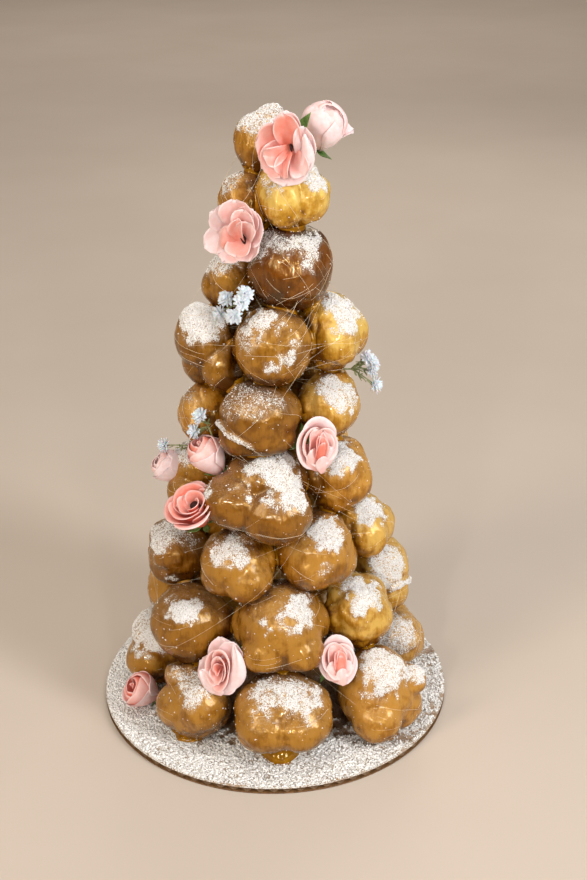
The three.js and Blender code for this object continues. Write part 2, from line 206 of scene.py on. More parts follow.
def blend_min(a, b, k):
    return -blend_max(-a, -b, k)


def ripple(points, size, seed=0):
    """Smooth noise from -1 to 1 with hills of about size."""
    spot = np.asarray(points) / size + 31.7
    cell = np.floor(spot).astype(np.int64)
    part = spot - cell
    ease = part * part * (3 - 2 * part)
    total = 0
    for corner in itertools.product((0, 1), repeat=3):
        key = (cell + np.array(corner)) @ HASH + seed * 7919
        key = (key ^ (key >> 13)) * 1274126177
        level = ((key ^ (key >> 16)) & 0xFFFF) / 0x7FFF - 1
        total = total + level * np.prod(np.where(corner, ease, 1 - ease), axis=-1)
    return total


def triangles(quads):
    return np.concatenate([quads[:, [0, 1, 2]], quads[:, [0, 2, 3]]])


def grid_quads(rows, columns, closed=False):
    """Quads between the points of a grid, whose last column joins the first if it is closed."""
    index = np.arange(rows * columns).reshape(rows, columns)
    following = np.roll(index, -1, axis=1)
    if not closed:
        index, following = index[:, :-1], following[:, :-1]
    quads = [index[:-1], following[:-1], following[1:], index[1:]]
    return np.stack(quads, axis=-1).reshape(-1, 4)


def normals_of(points, faces):
    """Each point's own direction, the mean of its faces'."""
    a, b, c = (points[faces[:, i]] for i in range(3))
    normal = np.cross(b - a, c - a)
    total = np.zeros_like(points)
    for i in range(3):
        np.add.at(total, faces[:, i], normal)
    return unit(total)


def sheet(grid, thick):
    """A closed thin solid: a grid of points and the same grid set back by its thickness."""
    rows, columns = grid.shape[:2]
    normal = unit(np.cross(np.gradient(grid, axis=1), np.gradient(grid, axis=0)))
    count = rows * columns
    points = np.concatenate([grid.reshape(-1, 3), (grid - normal * thick).reshape(-1, 3)])
    front = grid_quads(rows, columns)
    index = np.arange(count).reshape(rows, columns)
    loop = np.concatenate([index[0], index[1:, -1], index[-1, -2::-1], index[-2:0:-1, 0]])
    ahead = np.roll(loop, -1)
    rim = np.stack([ahead, loop, loop + count, ahead + count], axis=-1)
    return points, triangles(np.concatenate([front, front[:, ::-1] + count, rim]))


def circle(count):
    """The cosine and sine of so many even steps round a circle."""
    turn = np.linspace(0, 2 * math.pi, count, endpoint=False)
    return np.cos(turn), np.sin(turn)


def close_ends(rings, ends):
    """A closed solid of rings of points, and the middle point of its first and its last one."""
    rows, around = rings.shape[:2]
    count = rows * around
    first = np.arange(around)
    last = first + count - around
    caps = np.concatenate([
        np.stack([np.full(around, count), first, np.roll(first, -1)], axis=-1),
        np.stack([np.full(around, count + 1), np.roll(last, -1), last], axis=-1),
    ])
    walls = triangles(grid_quads(rows, around, closed=True)[:, ::-1])
    return np.concatenate([rings.reshape(-1, 3), ends]), np.concatenate([walls, caps])


def tube(path, radius, sides=6):
    """A closed round strand along a path."""
    heading = unit(np.gradient(path, axis=0))
    side = unit(np.cross(heading, (0.31, 0.17, 0.93)))
    lift = np.cross(side, heading)
    cos, sin = (part[:, None] for part in circle(sides))
    spokes = cos * side[:, None] + sin * lift[:, None]
    return close_ends(path[:, None] + radius * spokes, path[[0, -1]])


def ring(path_radius, section, centre, axis, wobble):
    """A closed ring round an axis. section is its outline as steps out and along the axis, and
    wobble is how much further out it goes at each step round."""
    helper = (0, 0, 1) if abs(axis[2]) < 0.9 else (1, 0, 0)
    side = unit(np.cross(axis, helper))
    lift = np.cross(axis, side)
    cos, sin = (part[:, None] for part in circle(len(wobble)))
    spoke = cos * side + sin * lift
    out, along = np.array(section, float).T
    reach = path_radius + out[None, :] * wobble[:, None]
    points = centre + reach[..., None] * spoke[:, None] + along[None, :, None] * axis
    quads = grid_quads(len(wobble) + 1, len(section), closed=True) % (len(wobble) * len(section))
    return points.reshape(-1, 3), triangles(quads)


class Batch:
    """Several shapes that are made as one piece, with a number per point for each mark."""

    def __init__(self):
        self.points, self.faces, self.marks, self.count = [], [], {}, 0

    def add(self, points, faces, **marks):
        self.points.append(points)
        self.faces.append(np.asarray(faces) + self.count)
        self.count += len(points)
        for name, value in marks.items():
            self.marks.setdefault(name, []).append(np.broadcast_to(value, len(points)))

    def shape(self):
        marks = {name: np.concatenate(values) for name, values in self.marks.items()}
        return np.concatenate(self.points), np.concatenate(self.faces), marks


def make(name, points, faces, finish, marks=None, slot=None, replaces=(), smooth=True):
    """A piece of the croquembouche, from millimetres."""
    mesh = bpy.data.meshes.new(name)
    mesh.vertices.add(len(points))
    mesh.vertices.foreach_set("co", (points * MM).astype(np.float32).ravel())
    mesh.loops.add(faces.size)
    mesh.loops.foreach_set("vertex_index", faces.astype(np.int32).ravel())
    mesh.polygons.add(len(faces))
    mesh.polygons.foreach_set("loop_start", np.arange(len(faces), dtype=np.int32) * faces.shape[1])
    mesh.update(calc_edges=True)
    for mark, values in (marks or {}).items():
        attribute = mesh.attributes.new(mark, "FLOAT", "POINT")
        attribute.data.foreach_set("value", np.asarray(values, np.float32))
    if smooth:
        mesh.shade_smooth()
    mesh.materials.append(finish)
    made = bpy.data.objects.new(name, mesh)
    bpy.context.scene.collection.objects.link(made)
    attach(made, "root")
    if replaces:
        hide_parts(*replaces)


# ---- helpers: finishes -----------------------------------------------------------------------
def put(tree, kind, inputs=None, **settings):
    """A node with its settings, and each input either linked or set."""
    made = tree.nodes.new(kind)
    for key, value in settings.items():
        setattr(made, key, value)
    for key, value in (inputs or {}).items():
        if isinstance(value, bpy.types.NodeSocket):
            tree.links.new(value, made.inputs[key])
        else:
            made.inputs[key].default_value = value
    return made


def mix(tree, share, first, second, kind="MIX"):
    """One colour over another."""
    inputs = {0: share}
    for socket, colour in ((6, first), (7, second)):
        inputs[socket] = colour if isinstance(colour, bpy.types.NodeSocket) else (*colour, 1)
    return put(tree, "ShaderNodeMix", inputs, data_type="RGBA", blend_type=kind).outputs[2]


def maths(tree, kind, *values, clamp=False):
    inputs = dict(enumerate(values))
    return put(tree, "ShaderNodeMath", inputs, operation=kind, use_clamp=clamp).outputs[0]


def spread(tree, value, low, high, to_low=0.0, to_high=1.0):
    inputs = {"Value": value, "From Min": low, "From Max": high, "To Min": to_low,
              "To Max": to_high}
    return put(tree, "ShaderNodeMapRange", inputs, interpolation_type="SMOOTHSTEP").outputs[0]


def colours(tree, share, stops):
    made = put(tree, "ShaderNodeValToRGB", {"Fac": share})
    band = made.color_ramp
    while len(band.elements) < len(stops):
        band.elements.new(0.5)
    for element, (position, colour) in zip(band.elements, stops):
        element.position = position
        element.color = (*colour, 1)
    return made.outputs[0]


def mark(tree, name):
    return put(tree, "ShaderNodeAttribute", attribute_name=name).outputs["Fac"]


def here(tree, stretch=(1, 1, 1)):
    """The place on the piece, in metres, stretched along the axes."""
    place = put(tree, "ShaderNodeTexCoord").outputs["Object"]
    return put(tree, "ShaderNodeMapping", {"Vector": place, "Scale": stretch}).outputs[0]


def grain(tree, place, size_mm, detail=3, roughness=0.6):
    """Noise with grains of about this size."""
    inputs = {"Vector": place, "Scale": 1 / (size_mm * MM), "Detail": detail,
              "Roughness": roughness}
    return put(tree, "ShaderNodeTexNoise", inputs).outputs["Fac"]


def finish_of(name, tree_maker, **plain):
    """A material: tree_maker gives its changing inputs, and plain its constant ones."""
    made = bpy.data.materials.new(name)
    made.use_nodes = True
    tree = made.node_tree
    shader = tree.nodes["Principled BSDF"]
    for key, value in plain.items():
        shader.inputs[key.replace("_", " ").title().replace("Ior", "IOR")].default_value = value
    for key, value in tree_maker(tree).items():
        tree.links.new(value, shader.inputs[key])
    return made


def bump(tree, height, depth_mm, strength=1.0):
    inputs = {"Height": height, "Distance": depth_mm * MM, "Strength": strength}
    return put(tree, "ShaderNodeBump", inputs).outputs[0]


def effect(name, inputs, outputs):
    """An empty shader group with these sockets."""
    made = bpy.data.node_groups.new(name, "ShaderNodeTree")
    for socket, usual in inputs.items():
        kind = "NodeSocketColor" if isinstance(usual, tuple) else "NodeSocketFloat"
        made.interface.new_socket(socket, in_out="INPUT", socket_type=kind).default_value = usual
    for socket, kind in outputs.items():
        made.interface.new_socket(socket, in_out="OUTPUT", socket_type=kind)
    return made, put(made, "NodeGroupInput").outputs, put(made, "NodeGroupOutput").inputs


def use(tree, group, inputs):
    return put(tree, "ShaderNodeGroup", inputs, node_tree=group).outputs


def powdered_sugar():
    """Where sugar lies, how it breaks up at its edges, and how its grains stand up."""
    dust, into, out_of = effect(
        "powdered_sugar",
        {"Amount": 0.5, "Fineness": 1.0, "Bare Colour": (0.5, 0.3, 0.1, 1)},
        {"Colour": "NodeSocketColor", "Cover": "NodeSocketFloat", "Height": "NodeSocketFloat"},
    )
    place = {0: here(dust), "Scale": into["Fineness"]}
    place = put(dust, "ShaderNodeVectorMath", place, operation="SCALE").outputs[0]
    fine = spread(dust, grain(dust, place, 0.65, detail=2, roughness=0.75), 0.28, 0.72)
    clumps = spread(dust, grain(dust, place, 1.9, detail=4), 0.3, 0.7)
    drift = spread(dust, grain(dust, place, 5.5, detail=2), 0.35, 0.65, -0.12, 0.12)
    scratch = maths(dust, "SUBTRACT", grain(dust, place, 4.5, detail=2), 0.5)
    scratch = spread(dust, maths(dust, "ABSOLUTE", scratch), 0.004, 0.02, -0.3, 0.0)
    level = maths(dust, "MULTIPLY_ADD", fine, 0.6, maths(dust, "MULTIPLY", clumps, 0.4))
    level = maths(dust, "ADD", level, maths(dust, "ADD", scratch, drift))
    reached = maths(dust, "MULTIPLY_ADD", into["Amount"], 0.86, level)
    cover = spread(dust, reached, 1.0, 1.14)
    wiped = put(dust, "ShaderNodeMapping", {"Vector": place, "Scale": (1, 1, 0.22)}).outputs[0]
    wiped = spread(dust, grain(dust, wiped, 0.8), 0.40, 0.66, 0.12, 0.7)
    film = maths(dust, "MULTIPLY", into["Amount"], wiped)
    veil = maths(dust, "MAXIMUM", cover, film)
    # The sugar darkens where the fine grain is low: painted shade in the pits between its grains.
    shade = colours(dust, fine, [(0.1, (0.40, 0.31, 0.23)), (0.45, (0.80, 0.80, 0.80))])
    dust.links.new(mix(dust, veil, into["Bare Colour"], shade), out_of["Colour"])
    dust.links.new(cover, out_of["Cover"])
    dust.links.new(maths(dust, "MULTIPLY", cover, fine), out_of["Height"])
    return dust


SUGAR_DUST = powdered_sugar()


def crust_tree(tree):
    tone, glaze, sugar = (mark(tree, name) for name in ("tone", "glaze", "sugar"))
    long_streaks = grain(tree, here(tree, (1, 1, 0.2)), 2.2)
    fine_streaks = grain(tree, here(tree, (1, 1, 0.16)), 0.9)
    blotches = grain(tree, here(tree), 9, detail=4)
    thick = maths(tree, "ADD", glaze, spread(tree, long_streaks, 0.3, 0.7, -0.13, 0.13))
    thick = maths(tree, "ADD", thick, spread(tree, fine_streaks, 0.32, 0.68, -0.07, 0.07))
    thick = maths(tree, "ADD", thick, spread(tree, blotches, 0.34, 0.66, -0.28, 0.30), clamp=True)
    # The crust darkens from the crest colour to amber and then to its darkest brown where glaze
    # lies thick and where shade is painted in nooks, underneath and in creases; streaks and
    # blotches vary it.
    crest = colours(tree, tone, [(0, (0.68, 0.49, 0.14)), (0.4, (0.485, 0.250, 0.052)),
                                 (0.7, (0.295, 0.137, 0.016)), (1, (0.16, 0.050, 0.005))])
    amber = colours(tree, tone, [(0, (0.44, 0.225, 0.016)), (0.4, (0.285, 0.111, 0.006)),
                                 (0.7, (0.16, 0.059, 0.001)), (1, (0.075, 0.019, 0.001))])
    darkest_glaze_and_shade = colours(tree, tone, [(0, (0.16, 0.054, 0.002)), (1, (0.030, 0.007, 0.001))])
    base = mix(tree, spread(tree, thick, 0.0, 0.62), crest, amber)
    base = mix(tree, spread(tree, thick, 0.55, 1.0), base, darkest_glaze_and_shade)
    dusted = use(tree, SUGAR_DUST, {"Amount": sugar, "Bare Colour": base})
    skin = grain(tree, here(tree, (1, 1, 0.4)), 1.5, detail=4)
    drips = grain(tree, here(tree, (1, 1, 0.35)), 4.5, detail=2)
    smooth = maths(tree, "SUBTRACT", 1.0, dusted["Cover"])
    height = maths(tree, "MULTIPLY_ADD", skin, 0.7, maths(tree, "MULTIPLY", dusted["Height"], 1.4))
    height = maths(tree, "MULTIPLY_ADD", drips, 1.4, height)
    height = maths(tree, "MULTIPLY_ADD", fine_streaks, 0.35, height)
    rough = spread(tree, blotches, 0.35, 0.7, 0.10, 0.24)
    return {
        "Base Color": dusted["Colour"],
        "Roughness": maths(tree, "MAXIMUM", rough, maths(tree, "MULTIPLY", dusted["Cover"], 0.85)),
        "Coat Weight": maths(tree, "MULTIPLY", smooth, 0.4),
        "Normal": bump(tree, height, 0.5, 0.6),
    }


CRUST = finish_of(
    "caramel_glazed_crust", crust_tree, specular_ior_level=0.7,
    specular_tint=(1.0, 0.72, 0.30, 1), coat_roughness=0.05, coat_ior=1.36,
    coat_tint=(1.0, 0.86, 0.50, 1), subsurface_weight=0.05, subsurface_scale=0.002,
    subsurface_radius=(1.0, 0.45, 0.12))


def caramel_tree(tree):
    swirl = grain(tree, here(tree), 5)
    base = colours(tree, swirl, [(0.3, (0.40, 0.19, 0.003)), (0.7, (0.21, 0.085, 0.001))])
    return {"Base Color": base, "Normal": bump(tree, swirl, 0.4, 0.5)}


CARAMEL = finish_of(
    "set_caramel", caramel_tree, roughness=0.12, coat_weight=0.4, coat_roughness=0.04,
    coat_tint=(1.0, 0.80, 0.40, 1), specular_tint=(1.0, 0.72, 0.25, 1),
    subsurface_weight=0.1, subsurface_scale=0.003)


def thread_tree(tree):
    along = grain(tree, here(tree), 6, detail=2)
    pale = colours(tree, along, [(0.35, (0.86, 0.66, 0.36)), (0.65, (0.97, 0.90, 0.76))])
    return {"Base Color": pale}


THREAD = finish_of("spun_sugar", thread_tree, roughness=0.18, coat_weight=0.6)


def crystal_tree(tree):
    shade = grain(tree, here(tree), 1.8, detail=2)
    white = colours(tree, shade, [(0.3, (0.80, 0.765, 0.72)), (0.6, (0.97, 0.95, 0.92))])
    return {"Base Color": white}


CRYSTAL = finish_of("sugar_grains", crystal_tree, roughness=0.6)


# ---- the puffs -------------------------------------------------------------------------------
class Puff:
    """A lobed ball of crust: x to the right of its outer side, y outwards, and z up."""

    def __init__(self, name, row, seed):
        bearing, reach, height, width, tall, look, self.tone = row
        self.name, self.seed, self.bearing = name, seed, bearing
        self.out = outward(bearing)
        self.right = np.array([-self.out[1], self.out[0], 0])
        self.axes = np.stack([self.right, self.out, (0, 0, 1)])
        self.centre = at(bearing, reach, height)
        self.size = np.array([width / 2, width / 2, tall / 2])
        self.lobes = LOOKS[look]
        self.folded = PLEAT_DEPTH if look == "pleated" else FOLD_DEPTH
        self.lipped = look == "lip"
        self.on_board = name[0] == "a"
        self.cell = []  # the flat sides, as direction, distance, and height of the bead there

    @staticmethod
    def lobe(local, middle, size):
        """How far a lobe reaches in each direction, and where there is any of it."""
        middle = np.array(middle)
        along = local @ middle
        inside = along * along - middle @ middle + size * size
        return along + np.sqrt(np.maximum(inside, 0)), inside > 0

    def crust(self, directions):
        """How far the free crust reaches in each direction."""
        local = directions @ self.axes.T / self.size
        scale = 1 / np.linalg.norm(local, axis=1)
        local = local * scale[:, None]
        reach = np.zeros(len(local))
        for *middle, size in self.lobes:
            lobe, there = self.lobe(local, middle, size)
            reach = np.where(there, blend_max(reach, lobe, CREASE_SOFTNESS), reach)
        down = np.minimum(local[:, 2], -1e-6)
        squashed = blend_min(reach, -BASE_LEVEL / down, SQUASH_SOFTNESS)
        return np.where(local[:, 2] < 0, squashed, reach) * scale

    def wrinkles(self, directions, reach):
        """The crust's own unevenness: soft swells, knobs, folds that run down it, and cracks."""
        spot = directions * reach[:, None] + self.seed * 57.3
        swell = SWELL_HEIGHT * ripple(spot, 11, 1) + KNOB_HEIGHT * ripple(spot, 5.2, 2)
        folds = self.folded * ripple(spot * (1, 1, 0.22), 3.0, 3)
        folds = folds + CREPE_HEIGHT * ripple(spot, 1.9, 6)
        split = np.abs(ripple(spot * (1, 1, 0.5), 13, 4))
        crack = (1 - ramp(split, 0.0, 0.09)) * ramp(ripple(spot, 19, 5), 0.05, 0.4)
        return swell + folds - CRACK_DEPTH * crack + LIP_HEIGHT * self.lip(directions)

    def lip(self, directions):
        """1 along the torn edge where a lipped puff's first lobe laps over its second."""
        if not self.lipped:
            return np.zeros(len(directions))
        local = unit(directions @ self.axes.T / self.size)
        first, second = (self.lobe(local, middle, size)[0] for *middle, size in self.lobes[:2])
        past = first - second + 0.03 * ripple(directions, 0.2, self.seed)
        edge = ramp(past, -0.05, 0.0) * (1 - ramp(past, 0.05, 0.13)) * ramp(local[:, 1], 0.0, 0.3)
        return edge * (1 - ramp(local[:, 0], 0.0, 0.25))

    def meet(self, normal, distance, gap):
        """Presses a side flat, at a distance from the middle, and raises a bead across a gap."""
        bead = 0
        if 0 < gap < BEAD_REACH:
            bead = distance - self.crust(normal[None])[0] + BEAD_PRESS
        self.cell.append((normal, distance, bead))

    def surface(self, directions):
        """How far the crust reaches in each direction once its neighbours have shaped it."""
        reach = self.crust(directions)
        reach = reach + self.wrinkles(directions, reach)
        for normal, _, bead in self.cell:
            share = np.clip((directions @ normal - BEAD_EDGE) / (1 - BEAD_EDGE), 0, 1)
            reach = reach + bead * share * share * (3 - 2 * share)
        for normal, distance, _ in self.cell:
            facing = directions @ normal
            flat = distance / np.maximum(facing, 1e-6)
            pressed = blend_min(reach, flat, SQUASH_SOFTNESS * self.size[0])
            reach = np.where(facing > 0, pressed, reach)
        return reach


puffs = [Puff(f"{tier}{i + 1}", row, 10 * j + i)
         for j, (tier, rows) in enumerate(TIERS.items()) for i, row in enumerate(rows)]
joints = []  # where two puffs hold together: place, axis, and how far out they touch
for puff in puffs:
    if puff.on_board:
        puff.meet(np.array([0.0, 0, -1]), puff.centre[2] - STAND, 0)
    for other in puffs:
        if other is puff:
            continue
        between = other.centre - puff.centre
        apart = np.linalg.norm(between)
        normal = between / apart
        mine, theirs = puff.crust(normal[None])[0], other.crust(-normal[None])[0]
        if apart > NEAR * (mine + theirs):
            continue
        middle = (apart**2 + mine**2 - theirs**2) / (2 * apart)
        gap = apart - mine - theirs
        puff.meet(normal, middle - CLEARANCE / 2, gap)
        if gap < BEAD_REACH and puff.seed < other.seed:
            wide = math.sqrt(max(mine**2 - middle**2, 0)) if gap < 0 else 0
            joints.append((puff.centre + normal * middle, normal, wide))

BALL_SHARE = 0.96  # a puff's radius when it is taken as a ball, in its mean half size
SHADE_EDGE = (0.75, 1.08)  # where the lee of such a ball starts to fade and ends, in its radius
NOOK_EDGE = (0.5, 10)  # and how far from it glaze gathers and painted shade reaches
CREASE_EDGE = (-0.029, 0.13)  # a point's depth below those round it, from no painted shade to full
CREASE_SPREAD = 3  # rounds of smoothing over the points
centres = np.array([puff.centre for puff in puffs])
radii = np.array([puff.size.mean() * BALL_SHARE for puff in puffs])


def ball(splits):
    """Directions all round, and the triangles between them."""
    shape = bmesh.new()
    bmesh.ops.create_icosphere(shape, subdivisions=1, radius=1)
    bmesh.ops.subdivide_edges(shape, edges=shape.edges[:], cuts=splits, use_grid_fill=True)
    bmesh.ops.triangulate(shape, faces=shape.faces[:])
    shape.verts.index_update()
    directions = unit(np.array([v.co for v in shape.verts]))
    faces = np.array([[v.index for v in face.verts] for face in shape.faces])
    shape.free()
    return directions, faces


def openness(points, direction, skip):
    """How much of the sugar that falls from a direction gets past the other puffs."""
    open_share = np.ones(len(points))
    for i, (centre, radius) in enumerate(zip(centres, radii)):
        if i == skip:
            continue
        to_centre = centre - points
        along = to_centre @ direction
        miss = np.linalg.norm(to_centre - along[:, None] * direction, axis=1)
        low, high = (share * radius for share in SHADE_EDGE)
        covered = (1 - ramp(miss, low, high)) * ramp(along, 0, 6)
        open_share = open_share * (1 - covered)
    return open_share


def closeness(points, skip):
    """1 where a puff touches another, fading out over a few millimetres."""
    nearest = np.full(len(points), 99.0)
    for i, (centre, radius) in enumerate(zip(centres, radii)):
        if i != skip:
            nearest = np.minimum(nearest, np.linalg.norm(points - centre, axis=1) - radius)
    return 1 - ramp(nearest, *NOOK_EDGE)


directions, ball_faces = ball(PUFF_SPLITS)
edges = np.concatenate([ball_faces[:, [0, 1]], ball_faces[:, [1, 2]], ball_faces[:, [2, 0]]])
near_counts = np.bincount(edges[:, 0])


def mean_around(values):
    """The mean of what the points next to each point have."""
    total = np.zeros_like(values)
    np.add.at(total, edges[:, 0], values[edges[:, 1]])
    return total / near_counts[:, None]


def hollowness(points, normal):
    """1 in the creases and folds of a crust, fading out over a few millimetres."""
    hollow = ((mean_around(points) - points) * normal).sum(axis=1, keepdims=True)
    for _ in range(CREASE_SPREAD):
        hollow = mean_around(hollow)
    return ramp(hollow[:, 0], *CREASE_EDGE)


def usual_patch(puff):
    """The cap of sugar on a puff that SUGAR_PATCHES doesn't name."""
    bearing, tilt, wide, thick = (middle + varies * ripple(puff.centre[None], 7, seed)[0]
                                  for middle, varies, seed in USUAL_PATCH)
    return puff.bearing + bearing, tilt, wide, thick


def sugar_on(i, points, normal):
    """How thick sugar lies at each point of a puff, from 0 to about 1."""
    puff = puffs[i]
    sugar = puff.lip(directions)
    facing = unit(unit((points - puff.centre) / puff.size) + 0.35 * normal)
    patchy = 0.10 * ripple(points, 7, puff.seed) + 0.08 * ripple(points, 3, puff.seed + 1)
    streaky = 0.07 * ripple(points * (1, 1, 0.3), 2.2, puff.seed + 2)
    for bearing, tilt, wide, thick in SUGAR_PATCHES.get(puff.name, [usual_patch(puff)]):
        towards = facing @ aim(bearing, tilt) + (patchy + streaky) * min(wide / 30, 1)
        edge = min(PATCH_EDGE, 0.6 * wide)
        low, high = (math.cos(math.radians(wide + side * edge)) for side in (1, -1))
        lies = ramp(towards, low, high) * thick
        sugar = np.maximum(sugar, lies * openness(points, aim(bearing, max(tilt, SUGAR_FALL)), i))
    haze = HAZE * ramp(normal[:, 2] + patchy, 0.1, 0.9)
    return np.maximum(sugar, haze * openness(points, aim(puff.bearing, HAZE_FALL), i))


def glaze_and_shade_on(i, points, normal):
    """How thick the glaze is at each point of a puff, with shade painted in its nooks, underneath
    and in its creases, from 0 to 1.
    """
    under = 1 - ramp(normal[:, 2], -0.75, 0.35)
    thick = GLAZE_FILM + NOOK_GLAZE_AND_SHADE * closeness(points, i) + UNDER_SHADE * under
    return np.clip(thick + CREASE_SHADE * hollowness(points, normal), 0, 1)


tower = Batch()
for i, puff in enumerate(puffs):
    reach = puff.surface(directions)
    points = puff.centre + directions * reach[:, None]
    normal = normals_of(points, ball_faces)
    sugar, glaze = sugar_on(i, points, normal), glaze_and_shade_on(i, points, normal)
    points = points + normal * (SUGAR_THICK * ramp(sugar, 0.35, 0.9))[:, None]
    marks = {"tone": np.full(len(points), puff.tone), "glaze": glaze, "sugar": sugar}
    make(f"crust_{puff.name}", points, ball_faces, CRUST, marks, "crust", [f"puff_{puff.name}"])
    tower.add(points, ball_faces, sugar=sugar)

tower_points, tower_faces, tower_marks = tower.shape()
tower_tree = BVHTree.FromPolygons(tower_points.tolist(), tower_faces.tolist())

# ---- set caramel: the joints between puffs, and the pools round the feet -----------------------
BROAD_JOINT = 4  # puffs that touch further out than this are joined by a seam, others by a blob
SEAM, BLOB = (1.1, 0.9), (2.6, 1.6)  # how far each stands out, and how much more it flares
LEAST_JOINT = 2.2  # the least radius of a joint's ring
AROUND_JOINT = 20
fillets = Batch()
for number, (middle, axis, wide) in enumerate(joints):
    fill, flare = SEAM if wide > BROAD_JOINT else BLOB
    cos, sin = circle(AROUND_JOINT)
    wobble = 1 + 0.35 * ripple(np.stack([cos, sin, 0 * cos], axis=1) * 4, 3, number)
    section = [(-2, -0.7), (fill + flare, -2.0), (fill, -0.8), (fill - 0.15, 0), (fill, 0.8),
               (fill + flare, 2.0), (-2, 0.7)]
    fillets.add(*ring(max(wide, LEAST_JOINT), section, middle, axis, wobble))
make("caramel_joints", *fillets.shape()[:2], CARAMEL)


AROUND_POOL = 40
POOL_SINK = 0.2  # how far a pool sinks into the gap between foot and board
POOL_WIDTH = 11.5
STEM_WIDTH = 7.2  # of the foot where it leaves the puff


def puddle(centre, width, top, stem, seed):
    """Caramel that ran down a puff's foot and set in a pool: rings from its top to its rim."""
    rows = [(0.0, top), (stem * 0.8, top), (stem, top * 0.72), (stem * 1.12, top * 0.4),
            (stem * 1.5, 1.2), (width * 0.8, 0.7), (width, 0.12), (width * 0.98, 0.0), (0.0, 0.0)]
    cos, sin = circle(AROUND_POOL)
    spokes = np.stack([cos, sin, 0 * cos], axis=1)
    points = []
    for radius, height in rows:
        uneven = 1 + 0.24 * ripple(spokes * 2.2, 1.3, seed) * ramp(radius, stem * 0.7, width)
        level = (0, 0, height + STAND - POOL_SINK)
        points.append(centre + spokes * (radius * uneven)[:, None] + level)
    faces = triangles(grid_quads(len(rows), AROUND_POOL, closed=True)[:, ::-1])
    return np.concatenate(points), faces


pools = Batch()
for puff in puffs:
    if puff.on_board:
        place = puff.centre * (1, 1, 0) + puff.out * 4 - puff.right * 2
        width = POOL_WIDTH + 2 * ripple(place[None], 5, 1)[0]
        top = puff.centre[2] - STAND - BASE_LEVEL * puff.size[2] + 1.6
        pools.add(*puddle(place, width, max(top, 2.2), STEM_WIDTH, puff.seed))
make("caramel_pools", *pools.shape()[:2], CARAMEL)

# ---- spun sugar ------------------------------------------------------------------------------
STRAND = 0.15  # how far a strand lies off the crust
FAR = 160  # outside everything
THROUGH = 4.0  # a strand's distance from the middle where the tower has a gap
TIGHTENINGS, SOFTENINGS = 300, 2
LOWEST_STRAND, HIGHEST_STRAND = 8, 331
BUNDLES, WISPS = 24, 360


def skin_reach(bearing, height):
    """How far the tower's outside is from the middle."""
    away = outward(bearing)
    hit = tower_tree.ray_cast(Vector(away * FAR + (0, 0, height)), Vector(-away))
    return FAR - hit[3] if hit[0] else THROUGH


def strand(bearing, height, sweep, climb, seed):
    """The path of a strand wound round the tower, taut from crest to crest."""
    steps = max(int(abs(sweep) / 2), 8)
    share = np.linspace(0, 1, steps + 1)
    bearings = bearing + sweep * share
    wander = 2.0 * ripple(np.stack([share * sweep / 30, share * 0, share * 0], 1), 1, seed)
    heights = height + climb * share + wander * np.sin(share * math.pi)
    skin = np.array([skin_reach(b, h) + STRAND for b, h in zip(bearings, heights)])
    reach = skin.copy()
    chord = math.cos(math.radians(abs(sweep) / steps))
    for _ in range(TIGHTENINGS):
        reach[1:-1] = np.maximum(skin[1:-1], (reach[:-2] + reach[2:]) / 2 * chord)
    for _ in range(SOFTENINGS):
        reach[1:-1] = np.maximum(skin[1:-1], (reach[:-2] + 2 * reach[1:-1] + reach[2:]) / 4)
    return outward(bearings) * reach[:, None] + heights[:, None] * np.array([0, 0, 1])


chance = np.random.default_rng(31)
strands = Batch()


def lay(bearing, height, sweep, climb, radius, seed):
    climb = np.clip(climb, LOWEST_STRAND - height, HIGHEST_STRAND - height)
    strands.add(*tube(strand(bearing, height, sweep, climb, seed), radius, sides=4))


for number in range(BUNDLES):  # drawn round the tower, one to three at a time
    height = 14 + 312 * chance.beta(1.9, 1.6)
    sweep = chance.choice([-1, 1]) * chance.uniform(30, 130)
    climb = chance.normal(0, 24) * min(abs(sweep) / 90, 1.4)
    bearing = chance.uniform(0, 360)
    for twin in range(chance.integers(1, 4)):
        lay(bearing + chance.normal(0, 12), height + chance.normal(0, 5),
            sweep * chance.uniform(0.5, 1.1), climb + chance.normal(0, 9),
            chance.uniform(0.03, 0.065), 3 * number + twin)
for number in range(WISPS):
    height = 20 + 296 * chance.random()
    sweep = chance.choice([-1, 1]) * chance.uniform(8, 34)
    lay(chance.uniform(0, 360), height, sweep, 0.5 * abs(sweep) * chance.normal(),
        chance.uniform(0.025, 0.075), 200 + number)
make("spun_sugar_threads", *strands.shape()[:2], THREAD)

# ---- grains of sugar -------------------------------------------------------------------------
TETRAHEDRON = unit(np.array([(1, 1, 1), (1, -1, -1), (-1, 1, -1), (-1, -1, 1)], float))
TETRA_FACES = np.array([(0, 1, 2), (0, 3, 1), (0, 2, 3), (1, 3, 2)])


def grains(places, sizes):
    """A small crystal at each place, turned at random."""
    count = len(places)
    q = unit(chance.normal(size=(count, 4)))
    w, x, y, z = q.T
    turn = np.stack([
        1 - 2 * (y * y + z * z), 2 * (x * y - w * z), 2 * (x * z + w * y),
        2 * (x * y + w * z), 1 - 2 * (x * x + z * z), 2 * (y * z - w * x),
        2 * (x * z - w * y), 2 * (y * z + w * x), 1 - 2 * (x * x + y * y),
    ], axis=-1).reshape(count, 3, 3)
    stretch = chance.uniform(0.7, 1.3, (count, 1, 3))
    corners = (TETRAHEDRON * stretch) @ turn.transpose(0, 2, 1) * sizes[:, None, None]
    points = (places[:, None] + corners).reshape(-1, 3)
    faces = (TETRA_FACES + 4 * np.arange(count)[:, None, None]).reshape(-1, 3)
    return points, faces


def sizes_of(count, middle, varies, least, most):
    """Random sizes, most of them near the middle one."""
    return np.clip(chance.lognormal(math.log(middle), varies, count), least, most)


